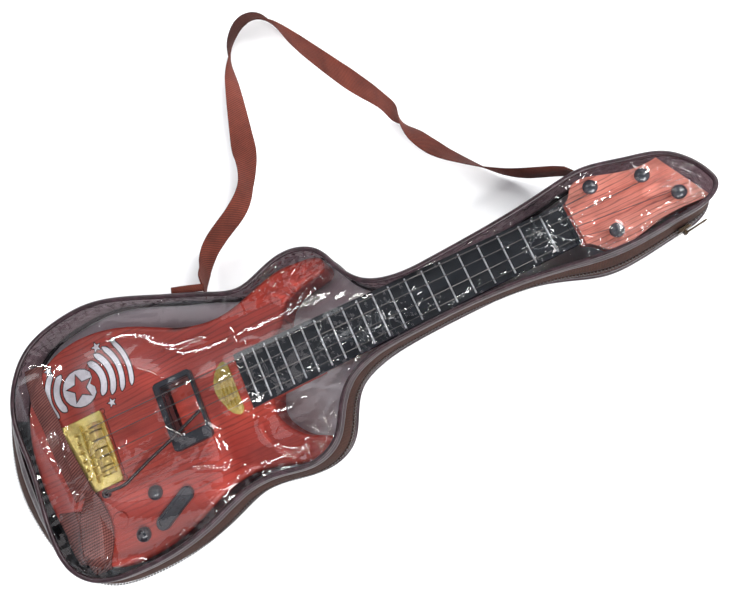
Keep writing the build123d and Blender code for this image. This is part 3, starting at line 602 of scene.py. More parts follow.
def ripple(x, y, seed):
    """Smooth noise between about -1 and 1 over a plane, the same on each run."""
    x, y = np.broadcast_arrays(np.asarray(x, float), np.asarray(y, float))
    turns = np.random.default_rng(seed).random((256, 256)) * math.tau
    cell_x, cell_y = np.floor(x).astype(int), np.floor(y).astype(int)
    part_x, part_y = x - cell_x, y - cell_y
    ease_x = part_x ** 3 * (part_x * (part_x * 6 - 15) + 10)
    ease_y = part_y ** 3 * (part_y * (part_y * 6 - 15) + 10)

    def corner(across, up):
        turn = turns[(cell_x + across) % 256, (cell_y + up) % 256]
        return np.cos(turn) * (part_x - across) + np.sin(turn) * (part_y - up)

    low = corner(0, 0) * (1 - ease_x) + corner(1, 0) * ease_x
    high = corner(0, 1) * (1 - ease_x) + corner(1, 1) * ease_x
    return (low * (1 - ease_y) + high * ease_y) * 1.5


def crease(x, y, seed, sharpness=3.0):
    """Thin ridges from 0 to 1 that wander over a plane."""
    return np.clip(1 - sharpness * np.abs(ripple(x, y, seed)), 0, 1) ** 2


def smooth_step(low, high, value):
    t = np.clip((value - low) / (high - low), 0, 1)
    return t * t * (3 - 2 * t)


# ---- the bag's outline, read from the CAD nodes ----
RING_COUNT = 900
PIPING_RADIUS = 2.2 * MM
front_low, front_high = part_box("bag_piping_front")
back_low, back_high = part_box("bag_piping_back")
FRONT_Z = (front_low.z + front_high.z) / 2
BACK_Z = (back_low.z + back_high.z) / 2
inner_loop = min(outlines_at("bag_piping_front", FRONT_Z), key=lambda loop: abs(area_of(loop)))
ring = smooth_ring(even_ring(inner_loop, RING_COUNT), 3)
chords = np.roll(ring, -1, axis=0) - np.roll(ring, 1, axis=0)
outward = np.stack([chords[:, 1], -chords[:, 0]], axis=1)
outward = smooth_ring(outward / np.linalg.norm(outward, axis=1)[:, None], 4)
outward /= np.linalg.norm(outward, axis=1)[:, None]
ring = ring + outward * PIPING_RADIUS


def near_ring(x, y, reach):
    """1 where the outline passes a point, easing to 0 away from it."""
    return np.exp(-(np.linalg.norm(ring - np.array((x, y)), axis=1) / reach) ** 2)


# the front seam is pulled in above the zip's end and pushed out at the corner by the strap
pulled = near_ring(-0.527, 0.008, 0.034)
pushed = near_ring(-0.508, -0.086, 0.030)
ring = ring + outward * ((4.5 * pushed - 3.5 * pulled) * MM)[:, None]
ring_length = along_ring(ring)


def stand_out(name, height):
    """How far the first face of a CAD node stands outside the bag's outline, all round."""
    tree = surface_tree([name])
    start = 14 * MM
    found = []
    for place, out in zip(ring, outward):
        origin = Vector((*(place - out * start), height))
        hit = tree.ray_cast(origin, Vector((*out, 0)))
        found.append(np.nan if hit[0] is None else hit[3] - start)
    found = np.array(found)
    missed = np.isnan(found)
    steps = np.arange(len(found))
    found[missed] = np.interp(steps[missed], steps[~missed], found[~missed])
    return smooth_ring(found, 4) + (1.5 * pulled + 1.0 * pushed) * MM


GUSSET_HEIGHTS = np.linspace(4.6, 44.4, 15) * MM
gusset_stand = np.array([stand_out("bag_gusset", height) for height in GUSSET_HEIGHTS])
back_stand = stand_out("bag_piping_back", BACK_Z) + PIPING_RADIUS


def wall_stand(height):
    """The gusset's distance outside the outline at any height, all round."""
    return np.array([np.interp(height, GUSSET_HEIGHTS, gusset_stand[:, k]) for k in range(RING_COUNT)])


def ring_index(x, y):
    """The ring's step that lies nearest to a point."""
    return int(np.linalg.norm(ring - np.array((x, y)), axis=1).argmin())


# ---- materials ----
HEAD_TONES = ((250, 162, 142), (243, 143, 124), (118, 48, 41))
NECK_TONES = ((190, 76, 58), (168, 60, 46), (84, 30, 24))
# Painted shade along the strap's length, by share of it: how much its colour, sheen and glint are darkened.
STRAP_PAINTED_SHADE = [
    (0.0, 0.62), (0.17, 0.7), (0.25, 0.68), (0.34, 1.0), (0.40, 0.3), (0.475, 0.3), (0.51, 1.0), (0.70, 1.0),
    (0.76, 0.55), (0.85, 0.42), (0.93, 0.3), (0.96, 0.5),
]
# Places where the film is crumpled: centre, reach along X and Y, and strength.
CRUMPLED = [
    (-0.185, -0.005, 0.050, 0.018, 1.0), (-0.020, -0.002, 0.020, 0.022, 1.0),
    (-0.248, -0.070, 0.020, 0.022, 0.8), (-0.236, 0.060, 0.026, 0.016, 0.6),
    (-0.495, -0.100, 0.016, 0.012, 0.6), (-0.290, -0.006, 0.016, 0.016, 0.6),
    (0.010, 0.034, 0.040, 0.008, 0.9), (0.098, 0.004, 0.012, 0.026, 0.8),
]

MATERIALS = {
    "red_wood": body_wood(),
    "head_wood": printed_wood("light_wood_grain_plastic", HEAD_TONES, 0.0038, 0.75, 0.84)[0].material,
    "neck_wood": printed_wood("neck_wood_plastic", NECK_TONES, 0.005, 0.5)[0].material,
    "black": moulded("black_plastic", rgb(34, 38, 46), 0.30, coat=0.3),
    "cap": moulded("peg_cap_plastic", rgb(58, 60, 68), 0.26, coat=0.5),
    "board": moulded("fingerboard_plastic", rgb(16, 21, 29), 0.36, coat=0.15),
    "red": moulded("red_plastic", rgb(180, 52, 36), 0.34, coat=0.2),
    # painted light: a brighter red than the body's, to offset the shade down the sound hole
    "hole": moulded("sound_hole_red_painted_light", rgb(236, 92, 76), 0.3, coat=0.3),
    "gold": plated("gold_plating", rgb(255, 234, 140), 0.14, 0.00036, 0.7),
    "bar": moulded("whammy_plastic", rgb(30, 16, 18), 0.3, coat=0.3),
    "saddles": saddle_gold(),
    "fret": plated("fret_metal", rgb(226, 228, 234), 0.36, metallic=0.5),
    "string": string_wire("string_steel"),
    "screw": plated("screw_steel", rgb(150, 150, 152), 0.3),
    "film": clear_film("clear_vinyl", rgb(250, 250, 251), 0.008, crumpled=CRUMPLED),
    "gusset": clear_film("gusset_vinyl", rgb(86, 68, 72), 0.3, 1.2, 0.0002, rgb(64, 46, 52), most=0.35),
    "smoky": smoky_vinyl(),
    "piping": piping_vinyl(),
    "webbing": woven("strap_webbing", rgb(128, 58, 42), rgb(26, 7, 5), 0.0021, 0.62, painted_shades=STRAP_PAINTED_SHADE),
    "inner_webbing": woven("inner_strap_webbing", rgb(146, 88, 80), rgb(46, 18, 17), 0.0024, 0.35),
    "zip_tape": woven("zip_tape_fabric", rgb(58, 31, 22), rgb(17, 8, 5), 0.0013, 0.0, 0.05, 0.15),
    "nylon": moulded("zip_nylon", rgb(26, 16, 13), 0.35, coat=0.15),
    "zip_metal": plated("zip_metal", rgb(74, 62, 50), 0.3),
    "white_ink": printed_film("decal_white", rgb(232, 233, 240)),
    "dark_ink": printed_film("decal_dark", rgb(30, 18, 20)),
    # painted shadow: the dark red of the groove round the bridge
    "groove": moulded("groove_shadow", rgb(96, 22, 15), 0.4),
}

STRINGS = [f"string_{number}" for number in range(1, 5)]
PEG_CAPS = [f"peg_cap_{number}" for number in range(1, 5)]
FINISHED_NODES = {
    "red_wood": ["body_front_shell", "body_back_shell"],
    "neck_wood": ["neck"],
    "head_wood": ["headstock_cover"],
    "board": ["fingerboard", "nut"],
    "fret": ["frets"],
    "gold": ["bridge_plate", "saddle_screws", "bridge_screws", "neck_pickup"],
    "saddles": ["bridge_saddles"],
    "screw": ["case_screws", "neck_screws", "strap_buttons"],
    "black": ["whammy_socket", "pickup_ring", "volume_knob", "tone_knob", "selector_plate"],
    "bar": ["whammy_bar"],
    "zip_metal": ["zip_slider", "zip_pull"],
    "string": STRINGS,
    "cap": PEG_CAPS,
    "red": [f"tuning_peg_{number}" for number in range(1, 5)],
}


def dress_kept_nodes():
    for finish, names in FINISHED_NODES.items():
        for name in names:
            slots = nodes[name].data.materials
            slots.clear()
            slots.append(MATERIALS[finish])


# ---- pipings, gusset and sheets of the bag ----
def closed_pipe(name, loop, height, replaced):
    """A round piping all round the bag, a little uneven where it was pulled through the machine."""
    turns = along_ring(loop)
    wobble = ripple(turns * 30, height * 200, 11)
    centres = np.column_stack([loop, height + wobble * 0.35 * MM])
    sides = np.column_stack([outward, np.zeros(RING_COUNT)])
    ups = np.tile((0.0, 0.0, 1.0), (RING_COUNT, 1))
    radius = min(PIPING_RADIUS, height)
    points, faces, uvs = tube(centres, sides, ups, PIPING_RADIUS, radius, 12, closed=True)
    pipe = piece_of(name, points, faces, MATERIALS["piping"], uvs)
    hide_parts(replaced)


# The steps of the outline that the zip runs along, and how deeply the side film is dented at each.
zip_steps = np.arange(ring_index(-0.515, 0.062), ring_index(0.104, -0.029) + 1)
film_side = smooth_ring(np.where(np.isin(np.arange(RING_COUNT), zip_steps), 0.12, 1.0), 6)


def make_gusset():
    """The side film between the two pipings, dented and folded where no zip holds it."""
    levels = [BACK_Z, *GUSSET_HEIGHTS, FRONT_Z - 0.5 * MM]
    rows = []
    for level in levels:
        stand = wall_stand(level)
        if level <= BACK_Z:
            stand = back_stand
        elif level > GUSSET_HEIGHTS[-1]:
            stand = np.zeros(RING_COUNT)
        share = (level - levels[0]) / (levels[-1] - levels[0])
        broad = ripple(ring_length * 38, share * 2.0, 21) * 1.4
        sharp = crease(ring_length * 95, share * 3.0, 22) * 1.1
        dents = (broad + sharp) * MM * math.sin(math.pi * share) ** 0.7
        stand = stand + 0.2 * MM + dents * film_side
        rows.append(np.column_stack([ring + outward * stand[:, None], np.full(RING_COUNT, level)]))
    points = np.vstack(rows)
    faces = lattice(len(levels), RING_COUNT, False, True)
    gusset = piece_of("gusset_film", points, faces, MATERIALS["gusset"])
    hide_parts("bag_gusset")


def wall_line(height, proud, steps):
    """Points a little outside the gusset's film, at one height, along steps of the outline."""
    stand = (wall_stand(height) + proud)[steps]
    return np.column_stack([ring[steps] + outward[steps] * stand[:, None], np.full(len(steps), height)])


def wall_strip(name, steps, low, high, proud, thick, material, slot, unevenness=0.0):
    """A thin closed strip that follows the gusset between two heights."""
    levels = np.linspace(low, high, 6)
    outer, inner = [], []
    for level in levels:
        rough = ripple(ring_length[steps] * 140, level * 90, 31) * unevenness
        for side, away in ((outer, proud), (inner, proud - thick)):
            line = wall_line(level, away, steps)
            line[:, 2] += rough
            side.append(line)
    rows = outer + inner[::-1]
    count = len(steps)
    along = lengths_along(outer[0])
    uvs = [(s, level) for level in [*levels, *levels[::-1]] for s in along]
    faces = lattice(len(rows), count, True, False)
    faces.append(tuple(r * count for r in range(len(rows)))[::-1])
    faces.append(tuple(r * count + count - 1 for r in range(len(rows))))
    return piece_of(name, np.vstack(rows), faces, material, uvs), float(along[-1])


ZIP_Z = 23.5 * MM
TEETH_HALF = 1.3 * MM
TEETH_PITCH = 1.5 * MM
# Name, lower edge and upper edge of each strip along the zip.
ZIP_TAPES = [("zip_tape_upper", ZIP_Z + TEETH_HALF, 41 * MM), ("zip_tape_lower", 11 * MM, ZIP_Z - TEETH_HALF)]
ZIP_BINDINGS = [("zip_binding_upper", 40 * MM, 45.2 * MM), ("zip_binding_lower", 4.5 * MM, 11.6 * MM)]


def make_zip():
    """Two woven tapes, sewn to the film by vinyl bindings."""
    fabric = (MATERIALS["zip_tape"], "zip_tape_fabric", 0.2 * MM)
    for name, low, high in ZIP_TAPES:
        tape, run = wall_strip(name, zip_steps, low, high, 1.35 * MM, 0.6 * MM, *fabric)
        if name == "zip_tape_upper":
            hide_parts("zip_tape")
    vinyl = (MATERIALS["piping"], "plum_piping", 0.45 * MM)
    for name, low, high in ZIP_BINDINGS:
        wall_strip(name, zip_steps, low, high, 1.75 * MM, 0.5 * MM, *vinyl)


def make_zip_teeth():
    """A nylon coil: two rows of small bent teeth that lock into each other."""
    middle = wall_line(ZIP_Z, 2.1 * MM, zip_steps)
    count = int(lengths_along(middle)[-1] / TEETH_PITCH)
    centres = points_at(middle, (np.arange(count) + 0.5) * TEETH_PITCH)
    ahead = directions(centres)
    up = np.array((0, 0, 1.0))
    bend = [(-0.5, 0.25), (0.6, 0.55), (1.7, 0.35), (2.6, -0.35)]
    section = [(0.42, 0.0), (0.0, 0.42), (-0.42, 0.0), (0.0, -0.42)]
    points, faces = [], []
    for index, (centre, forward) in enumerate(zip(centres, ahead)):
        out = np.cross(forward, up)
        side = 1 if index % 2 else -1
        first = len(points)
        for reach, rise in bend:
            for forth, lift in section:
                offset = up * side * reach + out * (rise + lift) + forward * forth
                points.append(centre + offset * MM)
        faces += [tuple(first + k for k in face) for face in lattice(4, 4, False, True)]
        faces.append(tuple(first + k for k in (3, 2, 1, 0)))
        faces.append(tuple(first + k for k in (12, 13, 14, 15)))
    teeth = piece_of("zip_coil", points, faces, MATERIALS["nylon"])
    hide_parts("zip_teeth")


def make_back_sheet():
    """The bag's back, flat on the floor, with low waves. Its rows close in on a spine along X."""
    shares = np.concatenate([np.linspace(1.0, 0.75, 6), np.linspace(0.65, 0.0, 9)])
    spine = np.column_stack([np.clip(ring[:, 0], -0.43, 0.06), np.zeros(RING_COUNT)])
    spine[:, 1] = np.where(ring[:, 0] > -0.2, np.clip(-0.02 * (ring[:, 0] + 0.2), -0.006, 0), 0)
    outer = ring + outward * (back_stand - PIPING_RADIUS)[:, None]
    rows = []
    for share in shares:
        flat = spine + (outer - spine) * share
        lift = (0.45 + 0.2 * ripple(flat[:, 0] * 25, flat[:, 1] * 25, 41)) * MM
        rows.append(np.column_stack([flat, lift]))
    faces = lattice(len(shares), RING_COUNT, False, True)
    sheet = piece_of("back_sheet", np.vstack(rows), faces, MATERIALS["smoky"])
    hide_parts("bag_back_sheet")


# ---- the clear front sheet, draped over the guitar ----
CELL = 1.15 * MM
CLEARANCE = 0.5 * MM
SEAM_Z = FRONT_Z + 0.3 * MM
# The whammy bar's pivot, how far it reaches, the bearings it covers at rest, and its two stops.
WHAMMY_PIVOT = (-459 * MM, -38 * MM)
WHAMMY_REACH = 125 * MM
WHAMMY_BEARINGS = np.radians(np.arange(-20.0, 40.0, 0.5))
WHAMMY_STOPS = np.radians((-36.0, 61.0))
SAG = 0.006 * MM
# Folds of the film: start, end, half width and height, in millimetres.
FOLDS = [
    (-395, 105, -355, 90, 3.0, 1.3), (-375, 98, -305, 74, 2.6, 1.5), (-345, 97, -300, 85, 2.4, 1.2),
    (-466, 80, -452, 60, 4.0, 0.8), (-425, -4, -420, -20, 3.6, 1.6), (-460, -3, -435, 5, 1.8, 1.0),
    (-385, -8, -365, -28, 2.2, 1.3), (-381, 12, -384, -2, 2.6, 1.4), (-367, 26, -362, 18, 3.0, 1.5),
    (-352, -20, -343, -32, 3.0, 1.6), (-308, -38, -305, -60, 2.6, 1.5), (-305, -60, -287, -82, 2.6, 1.6),
    (-287, -82, -279, -90, 2.0, 1.2), (-380, -50, -335, -67, 2.6, 1.3), (-335, -67, -318, -76, 2.2, 1.2),
    (-372, -84, -320, -74, 2.4, 1.5), (-240, -48, -262, -60, 2.8, 1.8), (-236, -52, -238, -66, 2.4, 1.5),
    (-244, -66, -250, -80, 2.2, 1.5), (-262, -70, -250, -84, 2.4, 1.4), (-258, 60, -247, 50, 3.4, 1.7),
    (-240, 66, -228, 58, 3.0, 1.3), (-302, 48, -300, 32, 2.6, 1.1), (-300, 32, -282, 27, 2.6, 1.1),
    (-306, 12, -308, -8, 2.6, 1.6), (-304, -4, -292, -14, 2.4, 1.3), (-284, 8, -280, -12, 2.0, 1.4),
    (-276, -10, -270, -18, 2.4, 1.4), (-318, -20, -308, -32, 2.6, 1.3), (-300, -30, -270, -36, 2.4, 1.2),
    (-272, -34, -250, -36, 2.4, 1.0), (-228, 2, -206, -8, 2.0, 1.2), (-214, -6, -196, 6, 2.0, 1.2),
    (-200, -14, -176, -6, 2.2, 1.3), (-184, 2, -170, -12, 2.0, 1.1), (-168, -4, -146, -12, 2.0, 1.2),
    (-150, 8, -132, 2, 2.0, 1.0), (-60, 10, -48, 2, 2.0, 1.0), (-40, -8, -22, -14, 2.2, 1.4),
    (-32, -4, -10, -10, 2.2, 1.5), (-34, 7, -24, 3, 2.6, 1.3), (-14, 14, -4, 12, 3.0, 1.5),
    (-20, -20, 2, -22, 2.0, 1.2), (-16, -26, 10, -22, 2.0, 1.2), (2, -14, 14, -22, 1.8, 1.0),
    (20, -32, 50, -30, 2.0, 1.3), (45, -28, 100, -26, 2.2, 1.3), (62, 21, 72, 14, 2.0, 1.3),
    (64, -4, 78, -6, 2.4, 1.4), (-10, 33, 34, 30, 2.2, 1.2), (2, 30, 30, 31, 1.8, 1.0),
    (92, 10, 108, -14, 2.2, 1.3), (88, 16, 98, 4, 2.0, 1.2), (-480, -104, -440, -107, 3.2, 1.8),
    (-474, -96, -462, -104, 3.0, 1.6), (-504, -80, -492, -96, 2.4, 1.4), (-514, 30, -515, 8, 2.2, 1.3),
    (-516, -40, -512, -62, 2.2, 1.4), (-500, 100, -488, 108, 3.0, 1.0), (-470, 30, -474, 10, 2.0, 1.2),
    (-448, -12, -446, -30, 2.0, 0.9), (-410, 60, -380, 72, 5.0, 0.7), (-440, 100, -400, 94, 5.0, 0.8),
    (-352, 52, -322, 48, 3.0, 0.9), (-120, -22, -100, -18, 1.8, 1.0), (-140, 22, -110, 20, 1.8, 1.0),
    (-90, -20, -70, -22, 1.8, 1.0), (-86, 20, -60, 22, 1.8, 1.0), (-486, -40, -478, -28, 2.6, 1.6),
]
TOUCHED_NODES = [
    "body_front_shell", "bridge_plate", "bridge_saddles", "saddle_screws", "bridge_screws",
    "whammy_socket", "whammy_bar", "pickup_ring", "neck_pickup", "volume_knob", "tone_knob",
    "selector_plate", "fingerboard", "frets", "nut", "headstock_cover", *PEG_CAPS, *STRINGS, "guitar_strap",
]


def film_grid():
    """The grid's X and Y, and which of its points lie inside the outline."""
    low = ring.min(0) - 2 * CELL
    high = ring.max(0) + 2 * CELL
    across = np.arange(low[0], high[0], CELL)
    up = np.arange(low[1], high[1], CELL)
    x, y = np.meshgrid(across, up, indexing="ij")
    inside = np.zeros(x.shape, bool)
    after = np.roll(ring, -1, axis=0)
    for (x0, y0), (x1, y1) in zip(ring, after):
        if y0 == y1:
            continue
        crosses = (y0 > y) != (y1 > y)
        inside ^= crosses & (x < (x1 - x0) * (y - y0) / (y1 - y0) + x0)
    return x, y, inside


def nearest_on_ring(x, y):
    """For each grid point, its distance to the outline and the outline's nearest step."""
    best = np.full(x.shape, np.inf)
    index = np.zeros(x.shape, int)
    for k, (px, py) in enumerate(ring):
        away = (x - px) ** 2 + (y - py) ** 2
        closer = away < best
        best[closer] = away[closer]
        index[closer] = k
    return np.sqrt(best), index


def ground_under(x, y, inside, more_trees):
    """The height of what lies under each point of the film."""
    trees = [surface_tree(TOUCHED_NODES), *more_trees]
    ground = np.zeros(x.shape)
    for i, j in zip(*np.nonzero(inside)):
        for tree in trees:
            top = height_at(tree, x[i, j], y[i, j])
            if top is not None:
                ground[i, j] = max(ground[i, j], top + CLEARANCE)
    return ground


def heights_swept(x, y):
    """How high the whammy bar reaches over each point as it turns from stop to stop."""
    tree = surface_tree(["whammy_bar"])
    aside, ahead = x - WHAMMY_PIVOT[0], y - WHAMMY_PIVOT[1]
    reach = np.hypot(aside, ahead)
    bearing = np.arctan2(ahead, aside)
    heights = np.zeros(x.shape)
    for radius in np.arange(0.0, WHAMMY_REACH, MM):
        hits = []
        for angle in WHAMMY_BEARINGS:
            over_x = WHAMMY_PIVOT[0] + radius * math.cos(angle)
            over_y = WHAMMY_PIVOT[1] + radius * math.sin(angle)
            top = height_at(tree, over_x, over_y)
            if top is not None:
                hits.append((angle, top))
        if not hits:
            continue
        swept = (bearing > hits[0][0] + WHAMMY_STOPS[0]) & (bearing < hits[-1][0] + WHAMMY_STOPS[1])
        swept &= np.abs(reach - radius) < MM
        top = max(z for _, z in hits) + CLEARANCE
        heights[swept] = np.maximum(heights[swept], top)
    return heights


def around(field):
    """The mean of each point's four neighbours."""
    return (np.roll(field, 1, 0) + np.roll(field, -1, 0) + np.roll(field, 1, 1) + np.roll(field, -1, 1)) / 4


def rounded_ground(ground):
    """The same ground with its steps eased, so that the film bends over them."""
    wide = ground
    for axis in (0, 1):
        wide = np.maximum(wide, np.maximum(np.roll(wide, 1, axis), np.roll(wide, -1, axis)))
    eased = wide
    for _ in range(3):
        eased = (eased + around(eased)) / 2
    return np.maximum(ground, eased)


def settle(height, ground, inside, edge_height, sag, rounds):
    for _ in range(rounds):
        height = np.where(inside, np.maximum(around(height) - sag, ground), edge_height)
    return height


def drape(ground, inside, edge_height):
    """A light elastic sheet, held at its edge, that settles on the ground: coarsely, then finely."""
    step = 3
    rows, columns = (size // step * step for size in ground.shape)
    blocks = ground[:rows, :columns].reshape(rows // step, step, columns // step, step)
    coarse_ground = blocks.max(axis=(1, 3))
    coarse_inside = inside[:rows, :columns].reshape(blocks.shape).min(axis=(1, 3))
    coarse = np.where(coarse_inside, np.maximum(coarse_ground, edge_height), edge_height)
    coarse = settle(coarse, coarse_ground, coarse_inside, edge_height, SAG * step ** 2, 500)
    height = np.full(ground.shape, edge_height)
    height[:rows, :columns] = np.repeat(np.repeat(coarse, step, 0), step, 1)
    return settle(height, ground, inside, edge_height, SAG, 150)


def fold_heights(x, y):
    """The listed folds, as a height over each point."""
    total = np.zeros(x.shape)
    for index, (x0, y0, x1, y1, width, height) in enumerate(FOLDS):
        start = np.array((x0, y0)) * MM
        run = np.array((x1 - x0, y1 - y0)) * MM
        length = np.linalg.norm(run)
        ahead = run / length
        along = ((x - start[0]) * ahead[0] + (y - start[1]) * ahead[1]) / length
        bow = 0.10 * length * math.sin(index * 1.7) * np.sin(np.pi * np.clip(along, 0, 1))
        aside = (y - start[1]) * ahead[0] - (x - start[0]) * ahead[1] - bow
        taper = smooth_step(-0.15, 0.3, along) * smooth_step(1.15, 0.7, along)
        total += height * MM * taper / (1 + (aside / (width * MM)) ** 2) ** 1.5
    return total


def crumple_heights(x, y, edge_distance, edge_step):
    """Seeded creases: strong in the crumpled places, gathered along the seam, faint elsewhere."""
    strength = np.full(x.shape, 0.05)
    for centre_x, centre_y, reach_x, reach_y, share in CRUMPLED:
        strength += share * np.exp(-(((x - centre_x) / reach_x) ** 2) - ((y - centre_y) / reach_y) ** 2)
    strength = np.minimum(strength, 1.1)
    warp = ripple(x * 30, y * 30, 51) * 0.010
    large = crease((x + warp) * 52, (y - warp) * 88, 52) * 1.5
    small = crease((x - warp) * 120, (y + warp) * 90, 53) * 0.6
    swell = ripple(x * 18, y * 26, 54) * 0.4
    gathers = crease(ring_length[edge_step] * 78, edge_distance * 20, 55, 2.6)
    seam = gathers * np.exp(-edge_distance / 0.011) * 1.3
    return ((large + small) * strength + swell + seam) * MM


def make_front_sheet(more_trees):
    """The clear sheet: draped over the guitar, then folded and crumpled, and never under it."""
    x, y, inside = film_grid()
    edge_distance, edge_step = nearest_on_ring(x, y)
    edge_height = SEAM_Z
    ground = np.maximum(ground_under(x, y, inside, more_trees), heights_swept(x, y))
    ground = rounded_ground(ground)
    height = drape(ground, inside, edge_height)
    rise = fold_heights(x, y) + crumple_heights(x, y, edge_distance, edge_step)
    height = np.maximum(height + rise * smooth_step(0.0, 0.006, edge_distance), ground)
    height = np.minimum(height, cad_high.z + 6 * MM)
    number = -np.ones(x.shape, int)
    number[inside] = np.arange(int(inside.sum()))
    points = np.column_stack([x[inside], y[inside], height[inside]])
    corners = [number[:-1, :-1], number[1:, :-1], number[1:, 1:], number[:-1, 1:]]
    whole = np.minimum.reduce(corners) >= 0
    faces = np.column_stack([corner[whole] for corner in corners])
    used, faces = np.unique(faces, return_inverse=True)
    faces = faces.reshape(-1, 4)
    film = piece_of("front_film", points[used], faces.tolist(), MATERIALS["film"])
    snap_to_seam(film)
    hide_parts("bag_front_sheet")


def snap_to_seam(film):
    """Pulls the film's edge onto the piping's middle, so that the seam closes."""
    edit = bmesh.new()
    edit.from_mesh(film.data)
    for vertex in edit.verts:
        if vertex.is_boundary:
            nearest = ring[ring_index(vertex.co.x, vertex.co.y)]
            vertex.co = (*nearest, SEAM_Z)
    edit.to_mesh(film.data)
    edit.free()


# ---- straps ----
def spline_points(name, route):
    """The line of a smooth NURBS spline that has the route's points as its control points."""
    curve = bpy.data.curves.new(name, "CURVE")
    curve.dimensions = "3D"
    curve.resolution_u = 10
    spline = curve.splines.new("NURBS")
    spline.points.add(len(route) - 1)
    for point, place in zip(spline.points, route):
        point.co = (*place, 1)
    spline.order_u = 3
    spline.use_endpoint_u = True
    holder = bpy.data.objects.new(name, curve)
    mesh = bpy.data.meshes.new_from_object(holder)
    line = np.array([v.co for v in mesh.vertices])
    bpy.data.meshes.remove(mesh)
    bpy.data.curves.remove(curve)
    return line


def even_line(line, step):
    """A line again with even steps, and each point's share of its length."""
    length = lengths_along(line)[-1]
    at = np.linspace(0, length, max(2, round(length / step)))
    return points_at(line, at), at / length


def ribbon(name, line, shares, lean_at, half_width, material, slot, thickness=1.3 * MM):
    """Webbing along a line. lean_at gives how far it leans from flat, in degrees, by share of length."""
    ahead = directions(line)
    flat_side = np.cross(np.tile((0.0, 0.0, 1.0), (len(line), 1)), ahead)
    flat_side /= np.linalg.norm(flat_side, axis=1)[:, None]
    above = np.cross(ahead, flat_side)
    lean = np.radians(np.interp(shares, [p[0] for p in lean_at], [p[1] for p in lean_at]))
    smooth_line(lean, 4)
    sides = flat_side * np.cos(lean)[:, None] + above * np.sin(lean)[:, None]
    ups = -flat_side * np.sin(lean)[:, None] + above * np.cos(lean)[:, None]
    points, faces, uvs = tube(line, sides, ups, half_width, thickness / 2, 24, power=0.55)
    points[:, 2] = np.maximum(points[:, 2], 0.3 * MM)
    return piece_of(name, points, faces, material, uvs)


STRAP_WIDTH = 24 * MM
# The strap's route on the floor, from the tab at the waist to the tab at the headstock.
STRAP_ROUTE = [
    (-0.3115, 0.0945, 0.0415), (-0.3125, 0.1000, 0.0350), (-0.3120, 0.1095, 0.0250),
    (-0.3080, 0.1260, 0.0150), (-0.2955, 0.1420, 0.0105), (-0.256, 0.162, 0.0110), (-0.2395, 0.188, 0.0105),
    (-0.2325, 0.222, 0.0075), (-0.2235, 0.260, 0.0095), (-0.2145, 0.297, 0.0120), (-0.201, 0.328, 0.0125),
    (-0.180, 0.342, 0.0120), (-0.160, 0.325, 0.0125), (-0.147, 0.295, 0.0114), (-0.130, 0.260, 0.0105),
    (-0.112, 0.224, 0.0102), (-0.093, 0.190, 0.0118), (-0.0855, 0.155, 0.0115), (-0.071, 0.125, 0.0095),
    (-0.050, 0.0995, 0.0118), (-0.034, 0.0825, 0.0125), (-0.016, 0.068, 0.0150), (0.003, 0.0560, 0.0250),
    (0.0150, 0.0475, 0.0330), (0.0215, 0.0415, 0.0400),
]
# How far the strap leans from flat, in degrees, by share of its length: past 90 its other face shows.
STRAP_LEAN = [
    (0.00, 110), (0.02, 104), (0.045, 90), (0.065, 77), (0.09, 68), (0.15, 65), (0.185, 75), (0.215, 56),
    (0.24, 25), (0.26, 40), (0.30, 56), (0.33, 68), (0.35, 78), (0.37, 98), (0.39, 120), (0.41, 138),
    (0.44, 152), (0.46, 144), (0.478, 112), (0.50, 90), (0.52, 78), (0.55, 67), (0.60, 58), (0.64, 53),
    (0.67, 60), (0.70, 70), (0.728, 64), (0.745, 105), (0.77, 136), (0.80, 142), (0.825, 132), (0.86, 116),
    (0.89, 100), (0.915, 92), (0.935, 88), (0.98, 91), (1.00, 98),
]


def make_shoulder_strap():
    line, shares = even_line(spline_points("strap_line", STRAP_ROUTE), 0.003)
    strap = ribbon(
        "shoulder_strap_webbing", line, shares, STRAP_LEAN, STRAP_WIDTH / 2, MATERIALS["webbing"],
        "strap_webbing",
    )
    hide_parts("shoulder_strap")


# Each tab's name, the place on the outline where it is sewn, and half its width in steps of the ring.
STRAP_TABS = [("strap_tab_waist", (-0.325, 0.092), 13), ("strap_tab_head", (0.018, 0.036), 8)]
# The fold of webbing that lies on the waist tab.
STRAP_FOLD = [(-0.3390, 0.1030, 0.0440), (-0.3250, 0.0985, 0.0445), (-0.3095, 0.0925, 0.0445)]


def make_strap_tabs():
    """Short ends of the same webbing, sewn along the seam under the piping."""
    webbing = (MATERIALS["webbing"], "strap_webbing")
    for name, place, half in STRAP_TABS:
        centre = ring_index(*place)
        steps = np.arange(centre - half, centre + half + 1) % RING_COUNT
        tab, _ = wall_strip(name, steps, 33 * MM, 44 * MM, 2.6 * MM, 1.2 * MM, *webbing, 0.3 * MM)
        if name == "strap_tab_waist":
            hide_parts("strap_tabs")
    line, shares = even_line(spline_points("fold_line", STRAP_FOLD), 0.002)
    ribbon("strap_fold_waist", line, shares, [(0, 8), (1, 12)], 0.0034, *webbing, 1.0 * MM)


INNER_STRAP_WIDTH = 21 * MM
BESIDE_BODY_Z = 34 * MM             # where the guitar's strap lies past the body's edge


